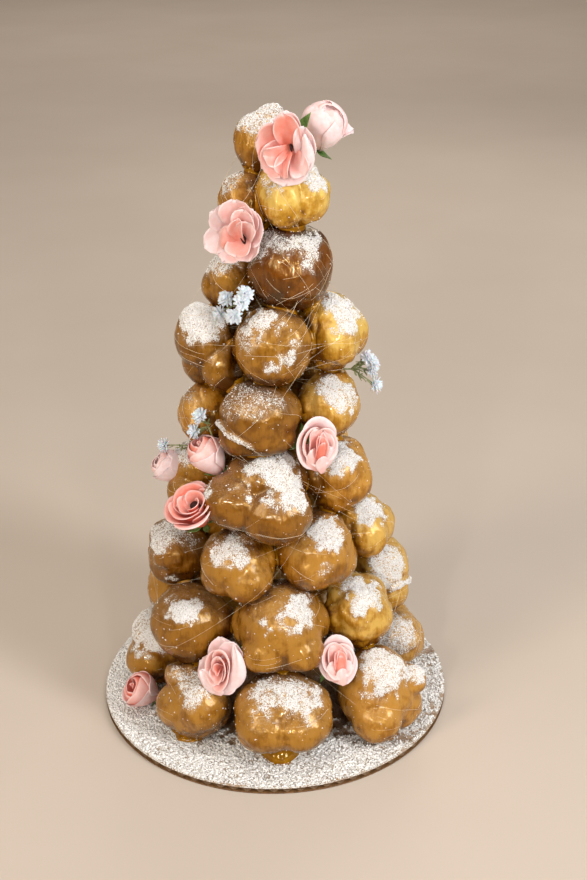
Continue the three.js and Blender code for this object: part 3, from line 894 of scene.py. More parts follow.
chance = np.random.default_rng(12)
PUFF_GRAINS = 46000
STRAY = 0.006  # how thickly odd grains lie on bare glaze, to 1 where sugar lies deep
corner = tower_points[tower_faces]
area = np.linalg.norm(np.cross(corner[:, 1] - corner[:, 0], corner[:, 2] - corner[:, 0]), axis=1)
lying = tower_marks["sugar"][tower_faces].mean(axis=1)
weight = area * (STRAY + ramp(lying, 0.2, 0.95) ** 1.4)
picked = chance.choice(len(area), PUFF_GRAINS, p=weight / weight.sum())
share = chance.dirichlet((1, 1, 1), PUFF_GRAINS)
places = (corner[picked] * share[..., None]).sum(axis=1)
sizes = sizes_of(PUFF_GRAINS, 0.36, 0.35, 0.18, 0.8)
make("sugar_on_puffs", *grains(places, sizes), CRYSTAL, smooth=False)

BOARD_GRAINS = 34000
TRIES = 3  # places tried for each grain on the board
UNDER_TOWER = 38  # no grain falls nearer the middle than this
FOOT_WIDTH = 7  # nor nearer a foot's middle than this
BOARD_EDGE = BOARD_WIDTH / 2
BARE_RIM = 0.7  # nor nearer the edge than this
bearings = chance.uniform(0, 360, BOARD_GRAINS * TRIES)
reaches = (BOARD_EDGE - BARE_RIM) * np.sqrt(chance.random(BOARD_GRAINS * TRIES))
spots = outward(bearings) * reaches[:, None] + (0, 0, BOARD_THICK)


def board_sugar(points):
    """How thick sugar lies on the board: in drifts, most at the left, least near the tower."""
    drift = 0.16 * ripple(points, 17, 41) + 0.4 * ripple(points, 3.2, 42)
    right = ramp(points[:, 0], 20, 100) - 0.5 * ramp(-points[:, 0], 30, 90)
    sheltered = 1 - ramp(np.linalg.norm(points[:, :2], axis=-1) + 24 * drift, 50, 74)
    return np.clip(0.9 - 0.24 * right - 0.74 * sheltered + drift, 0, 1)


kept = chance.random(len(spots)) < ramp(board_sugar(spots), 0.4, 0.9)
kept &= reaches > UNDER_TOWER
for puff in puffs:
    if puff.on_board:
        kept &= np.linalg.norm((spots - puff.centre)[:, :2], axis=1) > FOOT_WIDTH
spots = spots[kept][:BOARD_GRAINS]
sizes = sizes_of(len(spots), 0.66, 0.36, 0.3, 1.3)
spots[:, 2] += 0.25 + 0.35 * sizes
make("sugar_on_board", *grains(spots, sizes), CRYSTAL, smooth=False)


# ---- the cake board --------------------------------------------------------------------------
def card_tree(tree):
    fibres = grain(tree, here(tree, (1, 0.35, 1)), 1.2, detail=4)
    amount = mark(tree, "sugar")
    # The bare card is darker where little sugar lies, most of all near the tower, and paler where
    # more sugar lies.
    darker_card = colours(tree, fibres, [(0.3, (0.10, 0.044, 0.012)), (0.7, (0.24, 0.125, 0.045))])
    paler_card = colours(tree, fibres, [(0.3, (0.17, 0.10, 0.05)), (0.7, (0.46, 0.32, 0.20))])
    bare = mix(tree, spread(tree, amount, 0.25, 0.6), darker_card, paler_card)
    dusted = use(tree, SUGAR_DUST, {"Amount": amount, "Fineness": 0.55, "Bare Colour": bare})
    height = maths(tree, "MULTIPLY", dusted["Height"], 1.4)
    height = maths(tree, "MULTIPLY_ADD", fibres, 0.2, height)
    warm = mix(tree, 1.0, dusted["Colour"], (1.0, 0.95, 0.87), "MULTIPLY")
    return {"Base Color": warm, "Normal": bump(tree, height, 0.6, 0.8)}


def flute_tree(tree):
    fibres = grain(tree, here(tree, (1, 0.3, 1)), 1.0, detail=4)
    # The corrugation's brown, made darker as painted shade between the two cards.
    shaded_brown = colours(tree, fibres, [(0.3, (0.14, 0.078, 0.038)), (0.7, (0.25, 0.155, 0.08))])
    return {"Base Color": shaded_brown, "Normal": bump(tree, fibres, 0.2, 0.6)}


CARD = finish_of("white_card", card_tree, roughness=0.7)
FLUTES = finish_of("brown_corrugation", flute_tree, roughness=0.85)
LINER = 0.55  # how thick each card is
AROUND_BOARD = 288
CARD_MIDDLE = 0.4  # the radius of a card's first ring of points
TOP_RINGS, BOTTOM_RINGS = 72, 5
BEVEL = 0.15
SUGAR_RELIEF = 0.4  # how high sugar stands on the top card
FLUTE_LENGTH = 7.2
FLUTE_POINTS = 10  # along each wave
FLUTE_THICK = 0.22


def disc(bottom, top, relief, rings):
    """A round card of so many rings. relief is how high the sugar stands on it."""
    turn = np.linspace(0, 360, AROUND_BOARD, endpoint=False)
    bevel = BOARD_EDGE - BEVEL
    flat = np.linspace(CARD_MIDDLE, BOARD_EDGE - 0.6, rings)
    rows = [outward(turn) * reach + (0, 0, top) for reach in (*flat, bevel, BOARD_EDGE)]
    rows += [outward(turn) * reach + (0, 0, bottom) for reach in (BOARD_EDGE, bevel, CARD_MIDDLE)]
    points = np.concatenate(rows)
    lies = board_sugar(points) * (points[:, 2] > (bottom + top) / 2)
    inner = np.linalg.norm(points[:, :2], axis=1) < BOARD_EDGE - 0.4
    points[:, 2] += relief * lies * inner * (0.55 + 0.45 * ripple(points, 1.7, 43))
    rings_of_points = points.reshape(len(rows), AROUND_BOARD, 3)
    points, faces = close_ends(rings_of_points, [(0, 0, top), (0, 0, bottom)])
    return points, faces, {"sugar": np.append(lies, [0.8, 0])}


points, faces, marks = disc(BOARD_THICK - LINER, BOARD_THICK, SUGAR_RELIEF, TOP_RINGS)
make("board_top_card", points, faces, CARD, marks, "board", ["cake_board"])
points, faces, marks = disc(0, LINER, 0, BOTTOM_RINGS)
make("board_bottom_card", points, faces, CARD, {"sugar": marks["sugar"] * 0}, "board")

half = BOARD_EDGE - 0.5
x = np.arange(-half + 0.3, half, FLUTE_LENGTH / FLUTE_POINTS)
low, high = LINER, BOARD_THICK - LINER
z = (low + high) / 2 + 0.92 * (high - low) / 2 * np.sin(2 * math.pi * x / FLUTE_LENGTH)
deep = np.sqrt(half**2 - x**2)
wave = np.stack([np.stack([x, y * deep, z], axis=-1) for y in np.linspace(1, -1, 9)])
make("board_flutes", *sheet(wave, FLUTE_THICK), FLUTES, slot="board")


# ---- roses -----------------------------------------------------------------------------------
def petal_tree(tree):
    rim, blush, heart = (mark(tree, name) for name in ("rim", "blush", "heart"))
    mottle = grain(tree, here(tree), 4)
    veins = grain(tree, here(tree, (1, 1, 0.3)), 0.8)
    depth = maths(tree, "ADD", blush, spread(tree, mottle, 0.3, 0.7, -0.06, 0.06), clamp=True)
    base = colours(tree, depth, [(0, (0.82, 0.66, 0.66)), (0.2, (0.79, 0.48, 0.44)),
                                 (0.6, (0.75, 0.215, 0.15)), (1, (0.68, 0.09, 0.05))])
    edged = mix(tree, spread(tree, rim, 0.86, 1.0, 0, 0.5), base, (0.82, 0.66, 0.64))
    # Near black at the heart: the dark hole of a fabric rose, and painted shadow in its opening.
    glowing_colour = mix(tree, heart, edged, (0.03, 0.012, 0.01))
    # The same colour also glows faintly: painted light standing for light that passes through the
    # thin fabric.
    return {"Base Color": glowing_colour, "Emission Color": glowing_colour,
            "Normal": bump(tree, veins, 0.12, 0.5)}


# emission_strength sets that painted glow.
PETAL = finish_of(
    "satin_petal", petal_tree, roughness=0.55, specular_ior_level=0.3, emission_strength=0.05,
    subsurface_weight=0.1, subsurface_scale=0.0015, subsurface_radius=(1.0, 0.6, 0.5))


def leaf_tree(tree):
    veins = grain(tree, here(tree), 1.2)
    green = colours(tree, veins, [(0.3, (0.055, 0.13, 0.022)), (0.7, (0.16, 0.29, 0.07))])
    return {"Base Color": green, "Normal": bump(tree, veins, 0.2, 0.6)}


LEAF = finish_of("fabric_leaf", leaf_tree, roughness=0.55)

PETAL_THICK = 0.3
ACROSS, UP = 17, 12  # a petal's points
AROUND_HEART = 14
WIDEST = 0.58  # how far up a laid petal is widest
# How much the petals of a ring vary in angle, reach, depth and colour.
ANGLE_VARIES, REACH_VARIES, DEPTH_VARIES, COLOUR_VARIES = 12, 0.06, 0.07, 0.05


def any_seed():
    """A seed for one petal's ruffles."""
    return int(chance.integers(1e6))


def noise_over(s, t, seed):
    """Smooth noise over a grid of points."""
    spots = np.stack([s, t, s * 0], axis=-1)
    return ripple(spots.reshape(-1, 3), 1, seed).reshape(s.shape)


def petal(angle, base, rim, back, front, span, belly, curl, swirl, seed):
    """One petal in half widths, facing +Z. It rises from its base's radius and depth to its rim's,
    wraps round by span to each side, bulges by belly, rolls over by curl, and swirls inwards."""
    s, t = np.meshgrid(np.linspace(-1, 1, ACROSS), np.linspace(0, 1, UP))
    outline = np.sqrt(np.maximum(1 - 0.7 * np.abs(s) ** 2.6, 0.0))
    rise = t * outline
    around = np.radians(angle + s * span * (0.5 + 0.5 * np.sin(t * 0.5 * math.pi)))
    rolled = ramp(rise, 0.7, 1.0)
    radius = base + (rim - base) * rise**1.1 + belly * np.sin(rise * math.pi)
    radius = radius + curl * 0.5 * rolled - swirl * s * (0.2 + 0.8 * t)
    depth = back + (front - back) * np.sin(rise * 0.5 * math.pi) ** 1.2 - curl * 0.5 * rolled**2
    ruffle = noise_over(s * 2.4, t * 1.2, seed)
    radius = np.maximum(radius + 0.05 * ruffle * t, 0.02)
    depth = depth + 0.08 * ruffle * t**2
    grid = np.stack([np.cos(around) * radius, np.sin(around) * radius, depth], axis=-1)
    return grid, np.maximum(t, ramp(np.abs(s), 0.86, 1.0) * ramp(t, 0.2, 0.6))


def blade(base, tip, half, low, high, cup, roll, bend, seed):
    """One petal laid out across the rose's face, from base to tip, half wide to each side. It rises
    from low to high, cups its sides forward, rolls its tip back, and bends sideways."""
    s, t = np.meshgrid(np.linspace(-1, 1, ACROSS), np.linspace(0, 1, UP))
    spoon = 0.3 + 0.7 * np.sin(np.minimum(t / WIDEST, 1) * math.pi / 2)
    past = np.maximum(t - WIDEST, 0) / (1.003 - WIDEST)
    tipped = np.sqrt(np.maximum(1 - past**2.2, 0.004))
    wide = half * spoon * tipped
    base, along = np.array(base, float), np.array(tip, float) - base
    across = np.array([-along[1], along[0]]) / np.linalg.norm(along)
    ruffle = noise_over(s * 2.2, t * 1.6, seed)
    sideways = wide * s * (1 + 0.08 * ruffle) + bend * np.sin(t * math.pi)
    length = t * (1 + 0.05 * ruffle * np.abs(s))
    flat = base + along * length[..., None] + across * sideways[..., None]
    depth = low + (high - low) * t**0.8 + cup * (s * tipped) ** 2 * np.sin(t * 2.4)
    depth = depth - roll * ramp(t, 0.55, 1.0) ** 2 + 0.06 * ruffle * t
    grid = np.concatenate([flat, depth[..., None]], axis=-1)
    return grid, np.maximum(t, np.abs(s) * ramp(t, 0.1, 0.4))


class Rose:
    """A rose's own frame: x to the right of its face, y up it, and z out of it."""

    def __init__(self, name, place, aimed, width, tall):
        self.name = name
        level = outward(aimed[0])
        self.out = aim(*aimed)
        self.right = np.array([-level[1], level[0], 0])
        self.up = np.cross(self.out, self.right)
        self.centre = at(*place)
        self.size = np.array([width, tall, width]) / 2
        self.middle = np.zeros(3)
        self.stretch = np.ones(3)
        self.petals = Batch()

    def set(self, points):
        """Points in half widths of the rose, as places in the tower."""
        return (points * self.size) @ np.stack([self.right, self.up, self.out]) + self.centre

    def keep(self, grid, edge, foot, lip):
        """Makes a petal of a grid. Its colour goes from foot, at its base, to lip, and its outside
        is paler. It also pales towards the rose's right: painted light from that side."""
        points, faces = sheet(self.set(grid * self.stretch + self.middle), PETAL_THICK)
        share = np.clip(edge.ravel(), 0, 1) ** 1.3
        # Painted light: paler towards the rose's right, where the light falls.
        painted_light_right = 1 - 0.65 * ramp(grid[..., 0].ravel(), 0.0, 0.9)
        inside = np.clip(foot + (lip - foot) * share, 0, 1) * painted_light_right
        self.petals.add(points, faces, rim=np.tile(edge.ravel(), 2),
                        blush=np.concatenate([inside, inside * 0.6]), heart=0.0)

    def lay(self, base, tip, half, low, high, foot, lip, cup=0.15, roll=0.0, bend=0.0):
        """One petal laid across the face."""
        grid, edge = blade(base, tip, half, low, high, cup, roll, bend, any_seed())
        self.keep(grid, edge, foot, lip)

    def ring(self, count, start, base, rim, back, front, span, foot, lip, belly=0.0, curl=0.08,
             swirl=0.03, uneven=0.5):
        """So many petals round the face."""
        for i in range(count):
            angle = start + 360 / count * i + uneven * ANGLE_VARIES * chance.normal()
            reach = rim * (1 + uneven * REACH_VARIES * chance.normal())
            depth = front + uneven * DEPTH_VARIES * chance.normal()
            shift = COLOUR_VARIES * chance.normal()
            grid, edge = petal(angle, base, reach, back, depth, span, belly, curl, swirl,
                               any_seed())
            self.keep(grid, edge, foot + shift, lip + shift)

    def heart(self, wide, tall, tilt, back, front):
        """The dark slit at the middle: the dark hole of a fabric rose, and painted shadow in its
        opening.
        """
        cos, sin = circle(AROUND_HEART)
        lean = math.radians(tilt)
        x, y = cos * wide, sin * tall
        x, y = x * math.cos(lean) - y * math.sin(lean), x * math.sin(lean) + y * math.cos(lean)
        rows = [(0.02, front), (1, front), (1, back), (0.02, back)]
        points = [np.stack([x * share, y * share, 0 * x + z], axis=-1) for share, z in rows]
        points = np.concatenate(points) + self.middle
        faces = triangles(grid_quads(len(rows), AROUND_HEART, closed=True)[:, ::-1])
        self.petals.add(self.set(points), faces, rim=0.0, blush=1.0, heart=1.0)

    def finish(self):
        points, faces, marks = self.petals.shape()
        make(self.name + "_petals", points, faces, PETAL, marks, "petal", [self.name])


def wound(rose, blush):
    """A scroll of narrow petals between broad pale ones, the right one folded over the rest."""
    rose.lay((0, -0.6), (-0.3, 0.98), 0.66, -0.7, 0.0, 0.3, 0.1, cup=0.2)
    rose.lay((0, -0.6), (0.42, 0.92), 0.6, -0.6, 0.1, 0.2, 0.0, cup=0.2)
    rose.lay((0.1, -0.5), (-0.98, 0.1), 0.6, -0.7, 0.2, 0.4, 0.1, cup=0.2, bend=0.1)
    rose.lay((0, 0.2), (-0.1, -1.0), 0.7, -0.7, 0.15, 0.3, 0.08, cup=0.25)
    rose.stretch = np.array([0.78, 1.1, 1.0])
    rose.middle = np.array([-0.12, -0.04, 0])
    rose.ring(3, 75, 0.16, 0.68, -0.7, 0.44, 88, blush, 0.35 * blush, belly=0.04, swirl=0.1,
              curl=0.06)
    rose.ring(3, 20, 0.1, 0.44, -0.6, 0.52, 100, blush, 0.6 * blush, swirl=0.08, curl=0.03)
    rose.ring(1, 200, 0.04, 0.2, -0.5, 0.5, 170, blush, 0.9 * blush, swirl=0.06, curl=0.0, uneven=0)
    rose.stretch, rose.middle = np.ones(3), np.zeros(3)
    rose.lay((0.0, -0.98), (0.5, 0.92), 0.34, 0.1, 0.5, 0.05, 0.0, cup=-0.2, bend=-0.42, roll=0.1)
    rose.lay((0.1, -0.96), (-0.86, -0.2), 0.3, 0.2, 0.45, 0.2, 0.05, cup=-0.1, bend=0.14)


def tulip(rose, blush):
    """A closed bud of long petals that overlap, one of them flared."""
    rose.ring(1, 100, 0.03, 0.16, -0.6, 0.94, 170, blush, 0.6 * blush, swirl=0.05, curl=0.0,
              uneven=0)
    rose.ring(2, 60, 0.1, 0.3, -0.8, 0.95, 120, blush, 0.6 * blush, belly=0.34, swirl=0.1,
              curl=0.0)
    rose.ring(3, 250, 0.14, 0.48, -1.1, 0.86, 96, 0.8 * blush, 0.35 * blush, belly=0.42,
              swirl=0.12, curl=0.02)
    rose.ring(3, 330, 0.14, 0.8, -1.15, 0.5, 76, 0.4 * blush, 0.1 * blush, belly=0.32,
              swirl=0.06, curl=0.12)


def closed(rose, blush):
    """A pale bud whose petals close over its heart, one of them flared at the side."""
    rose.ring(2, 60, 0.1, 0.1, -0.8, 0.92, 120, blush, blush, belly=0.5, swirl=0.04, curl=0.0)
    rose.ring(3, 250, 0.14, 0.16, -1.1, 0.92, 84, blush, blush, belly=0.7, swirl=0.08,
              curl=0.0, uneven=0.8)
    rose.ring(3, 310, 0.14, 0.34, -1.15, 0.8, 74, 0.5 * blush, 0.2 * blush, belly=0.66,
              swirl=0.06, curl=0.0, uneven=0.8)
    rose.lay((-0.3, -0.5), (0.1, 0.56), 0.44, 0.58, 0.7, blush, 0.5 * blush, cup=-0.1)
    rose.lay((0.4, -0.4), (0.1, 0.5), 0.4, 0.64, 0.76, blush, 0.5 * blush, cup=-0.1)
    rose.lay((0.0, -0.36), (0.9, -0.74), 0.4, -0.7, 0.3, 0.5 * blush, 0.0, cup=0.24, roll=0.1)


def ruffled(rose, blush):
    """A rose with frilled petals standing in front of one another."""
    rose.ring(3, 80, 0.2, 0.94, -0.9, 0.26, 86, 0.3 * blush, 0.14 * blush, belly=0.05, curl=0.1)
    rose.ring(3, 20, 0.18, 0.74, -0.7, 0.44, 88, 0.6 * blush, 0.3 * blush, belly=0.05,
              curl=0.06, uneven=0.9)
    rose.lay((0, -0.7), (-0.14, 0.66), 0.44, -0.3, 0.4, 0.9 * blush, 0.4 * blush, cup=0.34,
             roll=0.1)
    rose.lay((0.1, -0.7), (0.3, 0.5), 0.38, -0.2, 0.48, 0.7 * blush, 0.34 * blush, cup=0.34,
             roll=0.1)
    rose.lay((0, -0.7), (0.0, 0.4), 0.3, 0.0, 0.56, blush, 0.8 * blush, cup=0.3, roll=0.1)
    rose.lay((0, -0.7), (0.06, 0.2), 0.2, 0.3, 0.66, blush, blush, cup=-0.15)
    rose.lay((0.05, -0.9), (-0.42, 0.0), 0.3, 0.1, 0.5, 0.5 * blush, 0.24 * blush, cup=-0.14,
             bend=0.1)
    rose.lay((0.05, -0.9), (0.46, -0.04), 0.3, 0.1, 0.52, 0.4 * blush, 0.1 * blush, cup=-0.14,
             bend=-0.1)
    rose.lay((0.1, -0.98), (0.0, -0.3), 0.26, 0.3, 0.6, 0.4 * blush, 0.14 * blush, cup=-0.14)


def open_top(rose, _):
    """The top rose, wide open round a dark slit, taller than it is wide."""
    rose.lay((0.1, -0.1), (0.0, 1.0), 0.5, -0.8, -0.06, 0.2, 0.05, cup=0.2)
    rose.lay((0.1, 0.1), (0.0, -1.0), 0.72, -0.8, -0.06, 0.3, 0.08, cup=0.14)
    rose.lay((0.1, 0.1), (0.74, -0.62), 0.5, -0.7, 0.02, 0.3, 0.05, cup=0.2)
    rose.lay((0.4, -0.4), (0.7, 0.6), 0.4, -0.7, 0.06, 0.2, 0.0, cup=0.3, bend=-0.14)
    rose.lay((0.3, 0.0), (-0.97, 0.12), 0.62, -0.6, 0.1, 0.95, 0.6, cup=0.2)
    rose.lay((0.3, 0.1), (-0.7, -0.55), 0.5, -0.6, 0.08, 0.9, 0.45, cup=0.2)
    rose.lay((0.24, -0.1), (0.7, -0.66), 0.36, -0.5, 0.2, 0.9, 0.25, cup=0.3, roll=0.1)
    rose.lay((0.24, -0.14), (-0.04, 0.96), 0.46, -0.5, 0.22, 1.0, 0.85, cup=0.3, bend=-0.04)
    rose.lay((0.2, 0.04), (-0.66, -0.12), 0.26, -0.36, 0.42, 1.0, 0.4, cup=0.34, roll=0.16,
             bend=0.1)
    rose.lay((0.2, 0.06), (0.04, -0.76), 0.25, -0.4, 0.36, 1.0, 0.5, cup=0.4, roll=0.1, bend=-0.14)
    rose.lay((0.2, -0.86), (0.74, 0.46), 0.22, -0.2, 0.3, 0.0, 0.0, cup=-0.2, bend=-0.3)
    rose.middle = np.array([0.2, 0.02, 0])
    rose.heart(0.035, 0.11, 20, -0.6, -0.06)


def open_neck(rose, _):
    """The rose at the tower's neck: a broad lip over a dark slit, and creamy outer petals."""
    rose.lay((0.1, 0.1), (-1.04, -0.5), 0.42, -0.85, 0.0, 0.1, 0.0, cup=0.14)
    rose.lay((0.1, 0.0), (-0.78, 0.58), 0.5, -0.85, 0.1, 0.1, 0.0, cup=0.14)
    rose.lay((0.1, 0.1), (-0.42, -0.96), 0.5, -0.85, 0.0, 0.3, 0.12, cup=0.14)
    rose.lay((0.1, 0.1), (0.5, -0.84), 0.5, -0.85, 0.05, 0.6, 0.3, cup=0.2)
    rose.lay((0.1, 0.1), (0.98, 0.1), 0.56, -0.8, 0.1, 0.5, 0.22, cup=0.24)
    rose.lay((0.1, 0.0), (0.68, 0.7), 0.44, -0.8, 0.16, 0.5, 0.25, cup=0.24)
    rose.lay((0.2, -0.2), (0.04, 0.98), 0.56, -0.7, 0.2, 0.6, 0.22, cup=0.3)
    rose.lay((0.2, -0.3), (0.42, 0.74), 0.4, -0.5, 0.4, 0.8, 0.35, cup=0.4, bend=-0.1)
    rose.lay((0.24, -0.4), (0.74, 0.32), 0.34, -0.5, 0.42, 0.8, 0.4, cup=0.3, bend=0.1)
    rose.lay((0.2, 0.0), (0.16, -0.72), 0.42, -0.5, 0.26, 0.9, 0.5, cup=0.3)
    rose.lay((0.24, -0.3), (-0.52, -0.06), 0.38, -0.4, 0.5, 1.0, 0.42, cup=-0.12, roll=0.42,
             bend=0.04)
    rose.lay((0.2, -0.4), (0.28, 0.5), 0.26, -0.3, 0.5, 0.9, 0.5, cup=0.3, bend=0.1)
    rose.middle = np.array([0.25, -0.2, 0])
    rose.heart(0.06, 0.17, 28, -0.5, 0.0)


def scroll(rose, blush):
    """A rose seen from above, wound loosely round a dark hollow to one side."""
    rose.ring(4, 40, 0.2, 0.95, -0.95, 0.2, 64, blush, 0.6 * blush, belly=0.08, swirl=0.05,
              curl=0.08)
    rose.middle = np.array([0.04, 0, 0])
    rose.ring(3, 20, 0.2, 0.78, -0.8, 0.36, 84, blush, 0.8 * blush, belly=0.06, swirl=0.08,
              curl=0.05)
    rose.middle = np.array([0.14, 0, 0])
    rose.ring(2, 80, 0.18, 0.52, -0.6, 0.42, 110, blush, 0.8 * blush, swirl=0.08, curl=0.02)
    rose.ring(1, 0, 0.12, 0.34, -0.5, 0.46, 110, blush, 0.8 * blush, swirl=0.06, curl=0.0, uneven=0)
    rose.middle = np.zeros(3)
    rose.lay((0.22, 0.0), (-0.6, 0.1), 0.36, -0.3, 0.5, 1.0, 0.6, cup=-0.08, roll=0.36)
    rose.middle = np.array([0.2, 0.02, 0])
    rose.heart(0.17, 0.18, -30, -0.5, 0.24)


# Place, aim, width, tallness, way of opening, and depth of colour, which the two open ones set
# petal by petal.
ROSES = {
    "rose_top": ((16, 30, 329), (-12, 2), 29, 36, open_top, 1.0),
    "rose_crown": ((85, 28, 334), (40, 62), 25, 25, closed, 0.14),
    "rose_neck": ((-32, 31, 288), (-18, 6), 31, 33, open_neck, 1.0),
    "rose_left": ((-50, 44, 166), (-70, 60), 23, 23, tulip, 0.85),
    "rose_right": ((32, 43, 176), (24, 8), 25, 31, ruffled, 1.0),
    "rose_low_left": ((-45, 60, 143), (-38, 58), 31, 30, scroll, 1.0),
    "rose_behind": ((-83, 56, 149), (-80, 40), 20, 22, tulip, 0.15),
    "rose_front_left": ((-24, 67, 55), (-24, 14), 27, 32, wound, 0.85),
    "rose_front_right": ((31, 66, 54), (12, 30), 24, 28, ruffled, 0.9),
    "rose_on_board": ((-70, 82, 15), (-58, 44), 21, 25, tulip, 1.25),
}
LEAVES = {  # which way round each rose's face a broader leaf sticks out
    "rose_top": [50], "rose_crown": [215, 262], "rose_neck": [-28, 250], "rose_right": [190],
    "rose_front_left": [58], "rose_front_right": [228], "rose_behind": [240],
}
SMALL_LEAVES = [40, 112, 184, 256, 328]
SMALL_LEAF, BROAD_LEAF = (0.1, 0.6, 0.14), (0.15, 1.02, 0.2)  # start, length and half width
LEAF_THICK = 0.3
chance = np.random.default_rng(5)
greens = Batch()


def leaf(rose, angle, start, length, width):
    """A pointed leaf behind a rose."""
    s, t = np.meshgrid(np.linspace(-1, 1, 7), np.linspace(0, 1, 11))
    wide = width * np.sin(np.clip(t * 0.97 + 0.03, 0, 1) ** 0.8 * math.pi) * (1 - 0.3 * t)
    around = math.radians(angle)
    depth = -1.05 + 0.3 * t**1.6 + 0.25 * wide * np.abs(s) + 0.02 * np.sin(9 * t)
    flat = (start + length * t)[..., None] * np.array([math.cos(around), math.sin(around)])
    flat = flat + (s * wide)[..., None] * np.array([-math.sin(around), math.cos(around)])
    grid = np.concatenate([flat, depth[..., None]], axis=-1)
    greens.add(*sheet(rose.set(grid), LEAF_THICK))


for name, (place_at, aimed, width, tall, opening, blush) in ROSES.items():
    rose = Rose(name, place_at, aimed, width, tall)
    opening(rose, blush)
    rose.finish()
    for angle in SMALL_LEAVES:
        leaf(rose, angle, *SMALL_LEAF)
    for angle in LEAVES.get(name, []):
        leaf(rose, angle, *BROAD_LEAF)
make("rose_leaves", *greens.shape()[:2], LEAF)


# ---- baby's breath ---------------------------------------------------------------------------
def breath_tree(tree):
    shade = grain(tree, here(tree), 1.0, detail=2)
    white = colours(tree, shade, [(0.3, (0.66, 0.72, 0.78)), (0.7, (0.84, 0.88, 0.92))])
    return {"Base Color": white}


BREATH = finish_of("breath_petal", breath_tree, roughness=0.6, subsurface_weight=0.2,
                   subsurface_scale=0.001)


def stem_tree(tree):
    shade = grain(tree, here(tree), 2.5, detail=2)
    green = colours(tree, shade, [(0.35, (0.12, 0.15, 0.045)), (0.65, (0.32, 0.34, 0.15))])
    return {"Base Color": green}


STEM = finish_of("green_stem", stem_tree, roughness=0.6)

SPRIGS = {  # root, fork, blossoms
    "sprig_neck": ((-45, 18, 248), (-38, 25, 249),
                   [(-44, 31, 252), (-24, 30, 256), (-26, 32, 252), (-52, 32, 243),
                    (-32, 34, 245)]),
    "sprig_left": ((-50, 40, 174), (-52, 42, 182), [(-54, 46, 189), (-57, 48, 180)]),
    "sprig_far_left": ((-60, 36, 166), (-68, 44, 166), [(-80, 59, 164)]),
    "sprig_right": ((84, 32, 205), (84, 43, 205),
                    [(80, 52, 213), (83, 54, 209), (84, 54, 205), (84, 56, 196)]),
}
BLOSSOM_REACH = 4.9
BLOSSOM_THICK = 0.22
BLOSSOM_ROWS = [(9, 0.8, -0.8), (13, 0.92, -0.3), (15, 0.92, 0.1), (14, 0.88, 0.5),
                (11, 0.8, 0.9), (6, 0.7, 1.3)]  # petals, length, and lift in radians
PETAL_VARIES = 0.16  # radians
STEM_RADIUS, TWIG_RADIUS = 0.5, 0.35
LEAFLETS = 9  # on each twig
LEAFLET_WIDTH, LEAFLET_THICK = 0.6, 0.25


def frame_to(direction):
    """Three axes, the last along a direction."""
    side = unit(np.cross(direction, (0.2, 0.1, 1.0)))
    return np.stack([side, np.cross(direction, side), direction])


def floret(batch, centre, facing_way):
    """A double blossom of narrow petals round its middle."""
    axes = frame_to(facing_way)
    s, t = np.meshgrid(np.linspace(-1, 1, 3), np.linspace(0, 1, 5))
    wide = 0.15 * np.sin(np.clip(0.1 + 0.72 * t, 0, 1) * math.pi) + 0.01
    for row, (count, length, lift) in enumerate(BLOSSOM_ROWS):
        for i in range(count):
            around = 2 * math.pi * (i + 0.5 * row) / count + PETAL_VARIES * chance.normal()
            tilted = lift + PETAL_VARIES * chance.normal()
            longer = t * length * chance.uniform(0.72, 1.1)
            radial = 0.04 + longer * math.cos(tilted)
            height = longer * math.sin(tilted) + 0.1 * t * t + 0.07 * s * s
            spoke = np.array([math.cos(around), math.sin(around)])
            across = np.array([-spoke[1], spoke[0]])
            flat = radial[..., None] * spoke + (s * wide)[..., None] * across
            grid = np.concatenate([flat, height[..., None]], axis=-1) * BLOSSOM_REACH
            batch.add(*sheet(grid @ axes + centre, BLOSSOM_THICK))


def leaflet(batch, start, heading, length):
    """A narrow green leaf on a sprig."""
    s, t = np.meshgrid(np.linspace(-1, 1, 3), np.linspace(0, 1, 6))
    side, lift, _ = frame_to(heading)
    wide = LEAFLET_WIDTH * np.sin((0.1 + 0.85 * t) * math.pi)
    grid = start + heading * (length * t)[..., None] + side * (s * wide)[..., None]
    grid = grid + lift * (0.15 * length * t * t + 0.3 * wide * s * s)[..., None]
    batch.add(*sheet(grid, LEAFLET_THICK))


chance = np.random.default_rng(9)
stems = Batch()
for name, (root, fork, places_at) in SPRIGS.items():
    blossoms = Batch()
    base, split = at(*root), at(*fork)
    share = np.linspace(0, 1, 9)[:, None]
    stems.add(*tube(base + (split - base) * share, STEM_RADIUS))
    for place_at in places_at:
        tip = at(*place_at)
        sag = np.array([0, 0, 1.0]) * (2.5 * share * (1 - share))
        stems.add(*tube(split + (tip - split) * share + sag, TWIG_RADIUS))
        heading = unit(tip - split)
        floret(blossoms, tip, unit(heading + outward(place_at[0]) + (0, 0, 0.5)))
        for _ in range(LEAFLETS):
            start = split + (tip - split) * chance.uniform(0.0, 0.75)
            turned = unit(heading + 0.8 * chance.normal(size=3))
            leaflet(stems, start, turned, chance.uniform(2.5, 5))
    make(name + "_blossoms", *blossoms.shape()[:2], BREATH, slot="blossom", replaces=[name])
make("sprig_stems", *stems.shape()[:2], STEM)


# ---- floor, light and camera -----------------------------------------------------------------
def floor_tree(tree):
    cloud = grain(tree, here(tree), 300)
    cream = colours(tree, cloud, [(0.3, (0.52, 0.435, 0.355)), (0.7, (0.55, 0.465, 0.385))])
    return {"Base Color": cream}


FLOOR = finish_of("studio_floor", floor_tree, roughness=0.9)
FLOOR_REACH, FLOOR_DROP = 8, 0.0002  # metres, and so are the lights and the camera
FLOOR_CORNERS = [(x * FLOOR_REACH, y * FLOOR_REACH, -FLOOR_DROP)
                 for x, y in ((-1, -1), (1, -1), (1, 1), (-1, 1))]
mesh = bpy.data.meshes.new("floor")
mesh.from_pydata(FLOOR_CORNERS, [], [(0, 1, 2, 3)])
mesh.materials.append(FLOOR)
floor = bpy.data.objects.new("floor", mesh)
bpy.context.scene.collection.objects.link(floor)


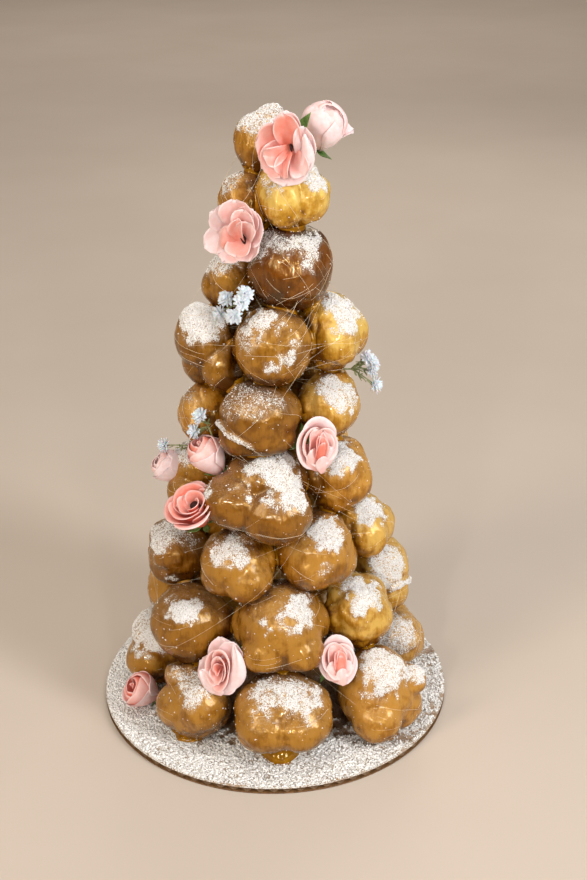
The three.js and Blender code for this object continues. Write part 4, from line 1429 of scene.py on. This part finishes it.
def soft_light(name, place, width, tall, watts, colour, target):
    """A soft box that points at its target."""
    lamp = bpy.data.lights.new(name, "AREA")
    lamp.shape, lamp.size, lamp.size_y = "RECTANGLE", width, tall
    lamp.energy, lamp.color = watts, colour
    made = bpy.data.objects.new(name, lamp)
    made.location = place
    made.rotation_euler = (Vector(target) - Vector(place)).to_track_quat("-Z", "Y").to_euler()
    bpy.context.scene.collection.objects.link(made)


TOWER = (0, 0, 0.16)
BACKDROP = (0, 3.4, 0)
LIGHTS = {  # place, width, tallness, watts, colour, and target
    "window_light": ((1.0, -0.75, 0.85), 0.3, 0.9, 16, (0.95, 0.97, 1.0), TOWER),
    "left_fill": ((-1.0, -0.8, 1.0), 0.35, 1.1, 11, (1.0, 0.90, 0.78), TOWER),
    "top_light": ((0.1, -0.1, 1.5), 0.5, 0.5, 5.5, (1.0, 0.98, 0.96), TOWER),
    "back_light": ((0.3, 1.2, 0.9), 0.7, 0.7, 4, (1.0, 0.95, 0.9), TOWER),
    "backdrop_light": ((0, 2.2, 2.2), 2.0, 1.0, 34, (1.0, 0.93, 0.86), BACKDROP),
    "sparkle_left": ((-0.35, -1.1, 0.6), 0.09, 0.07, 3.7, (1.0, 0.96, 0.92), TOWER),
    "sparkle_right": ((0.3, -1.25, 0.5), 0.09, 0.07, 3.3, (1.0, 0.97, 0.94), TOWER),
}
for name, row in LIGHTS.items():
    soft_light(name, *row)

ROOM_COLOUR, ROOM_LIGHT = (1.0, 0.92, 0.84, 1), 0.14
world = bpy.data.worlds.new("studio")
world.use_nodes = True
room = world.node_tree.nodes["Background"].inputs
room["Color"].default_value, room["Strength"].default_value = ROOM_COLOUR, ROOM_LIGHT
bpy.context.scene.world = world
bpy.context.scene.view_settings.view_transform = "Standard"

PITCH, YAW, ROLL = 25.7, 1.05, -0.44
FOCAL_LENGTH, SENSOR = 53.8, 36
CAMERA_PLACE = (0, -0.654, 0.476)
forward = aim(180 - YAW, -PITCH)
right = unit(np.cross(forward, (0, 0, 1)))
upward = np.cross(right, forward)
roll = math.radians(ROLL)
right, upward = (math.cos(roll) * right + math.sin(roll) * upward,
                 math.cos(roll) * upward - math.sin(roll) * right)
lens = bpy.data.cameras.new("camera")
lens.lens, lens.sensor_width = FOCAL_LENGTH, SENSOR
camera = bpy.data.objects.new("camera", lens)
axes = Matrix([*zip(right, upward, -forward)])
camera.matrix_world = Matrix.Translation(CAMERA_PLACE) @ axes.to_4x4()
bpy.context.scene.collection.objects.link(camera)
bpy.context.scene.camera = camera
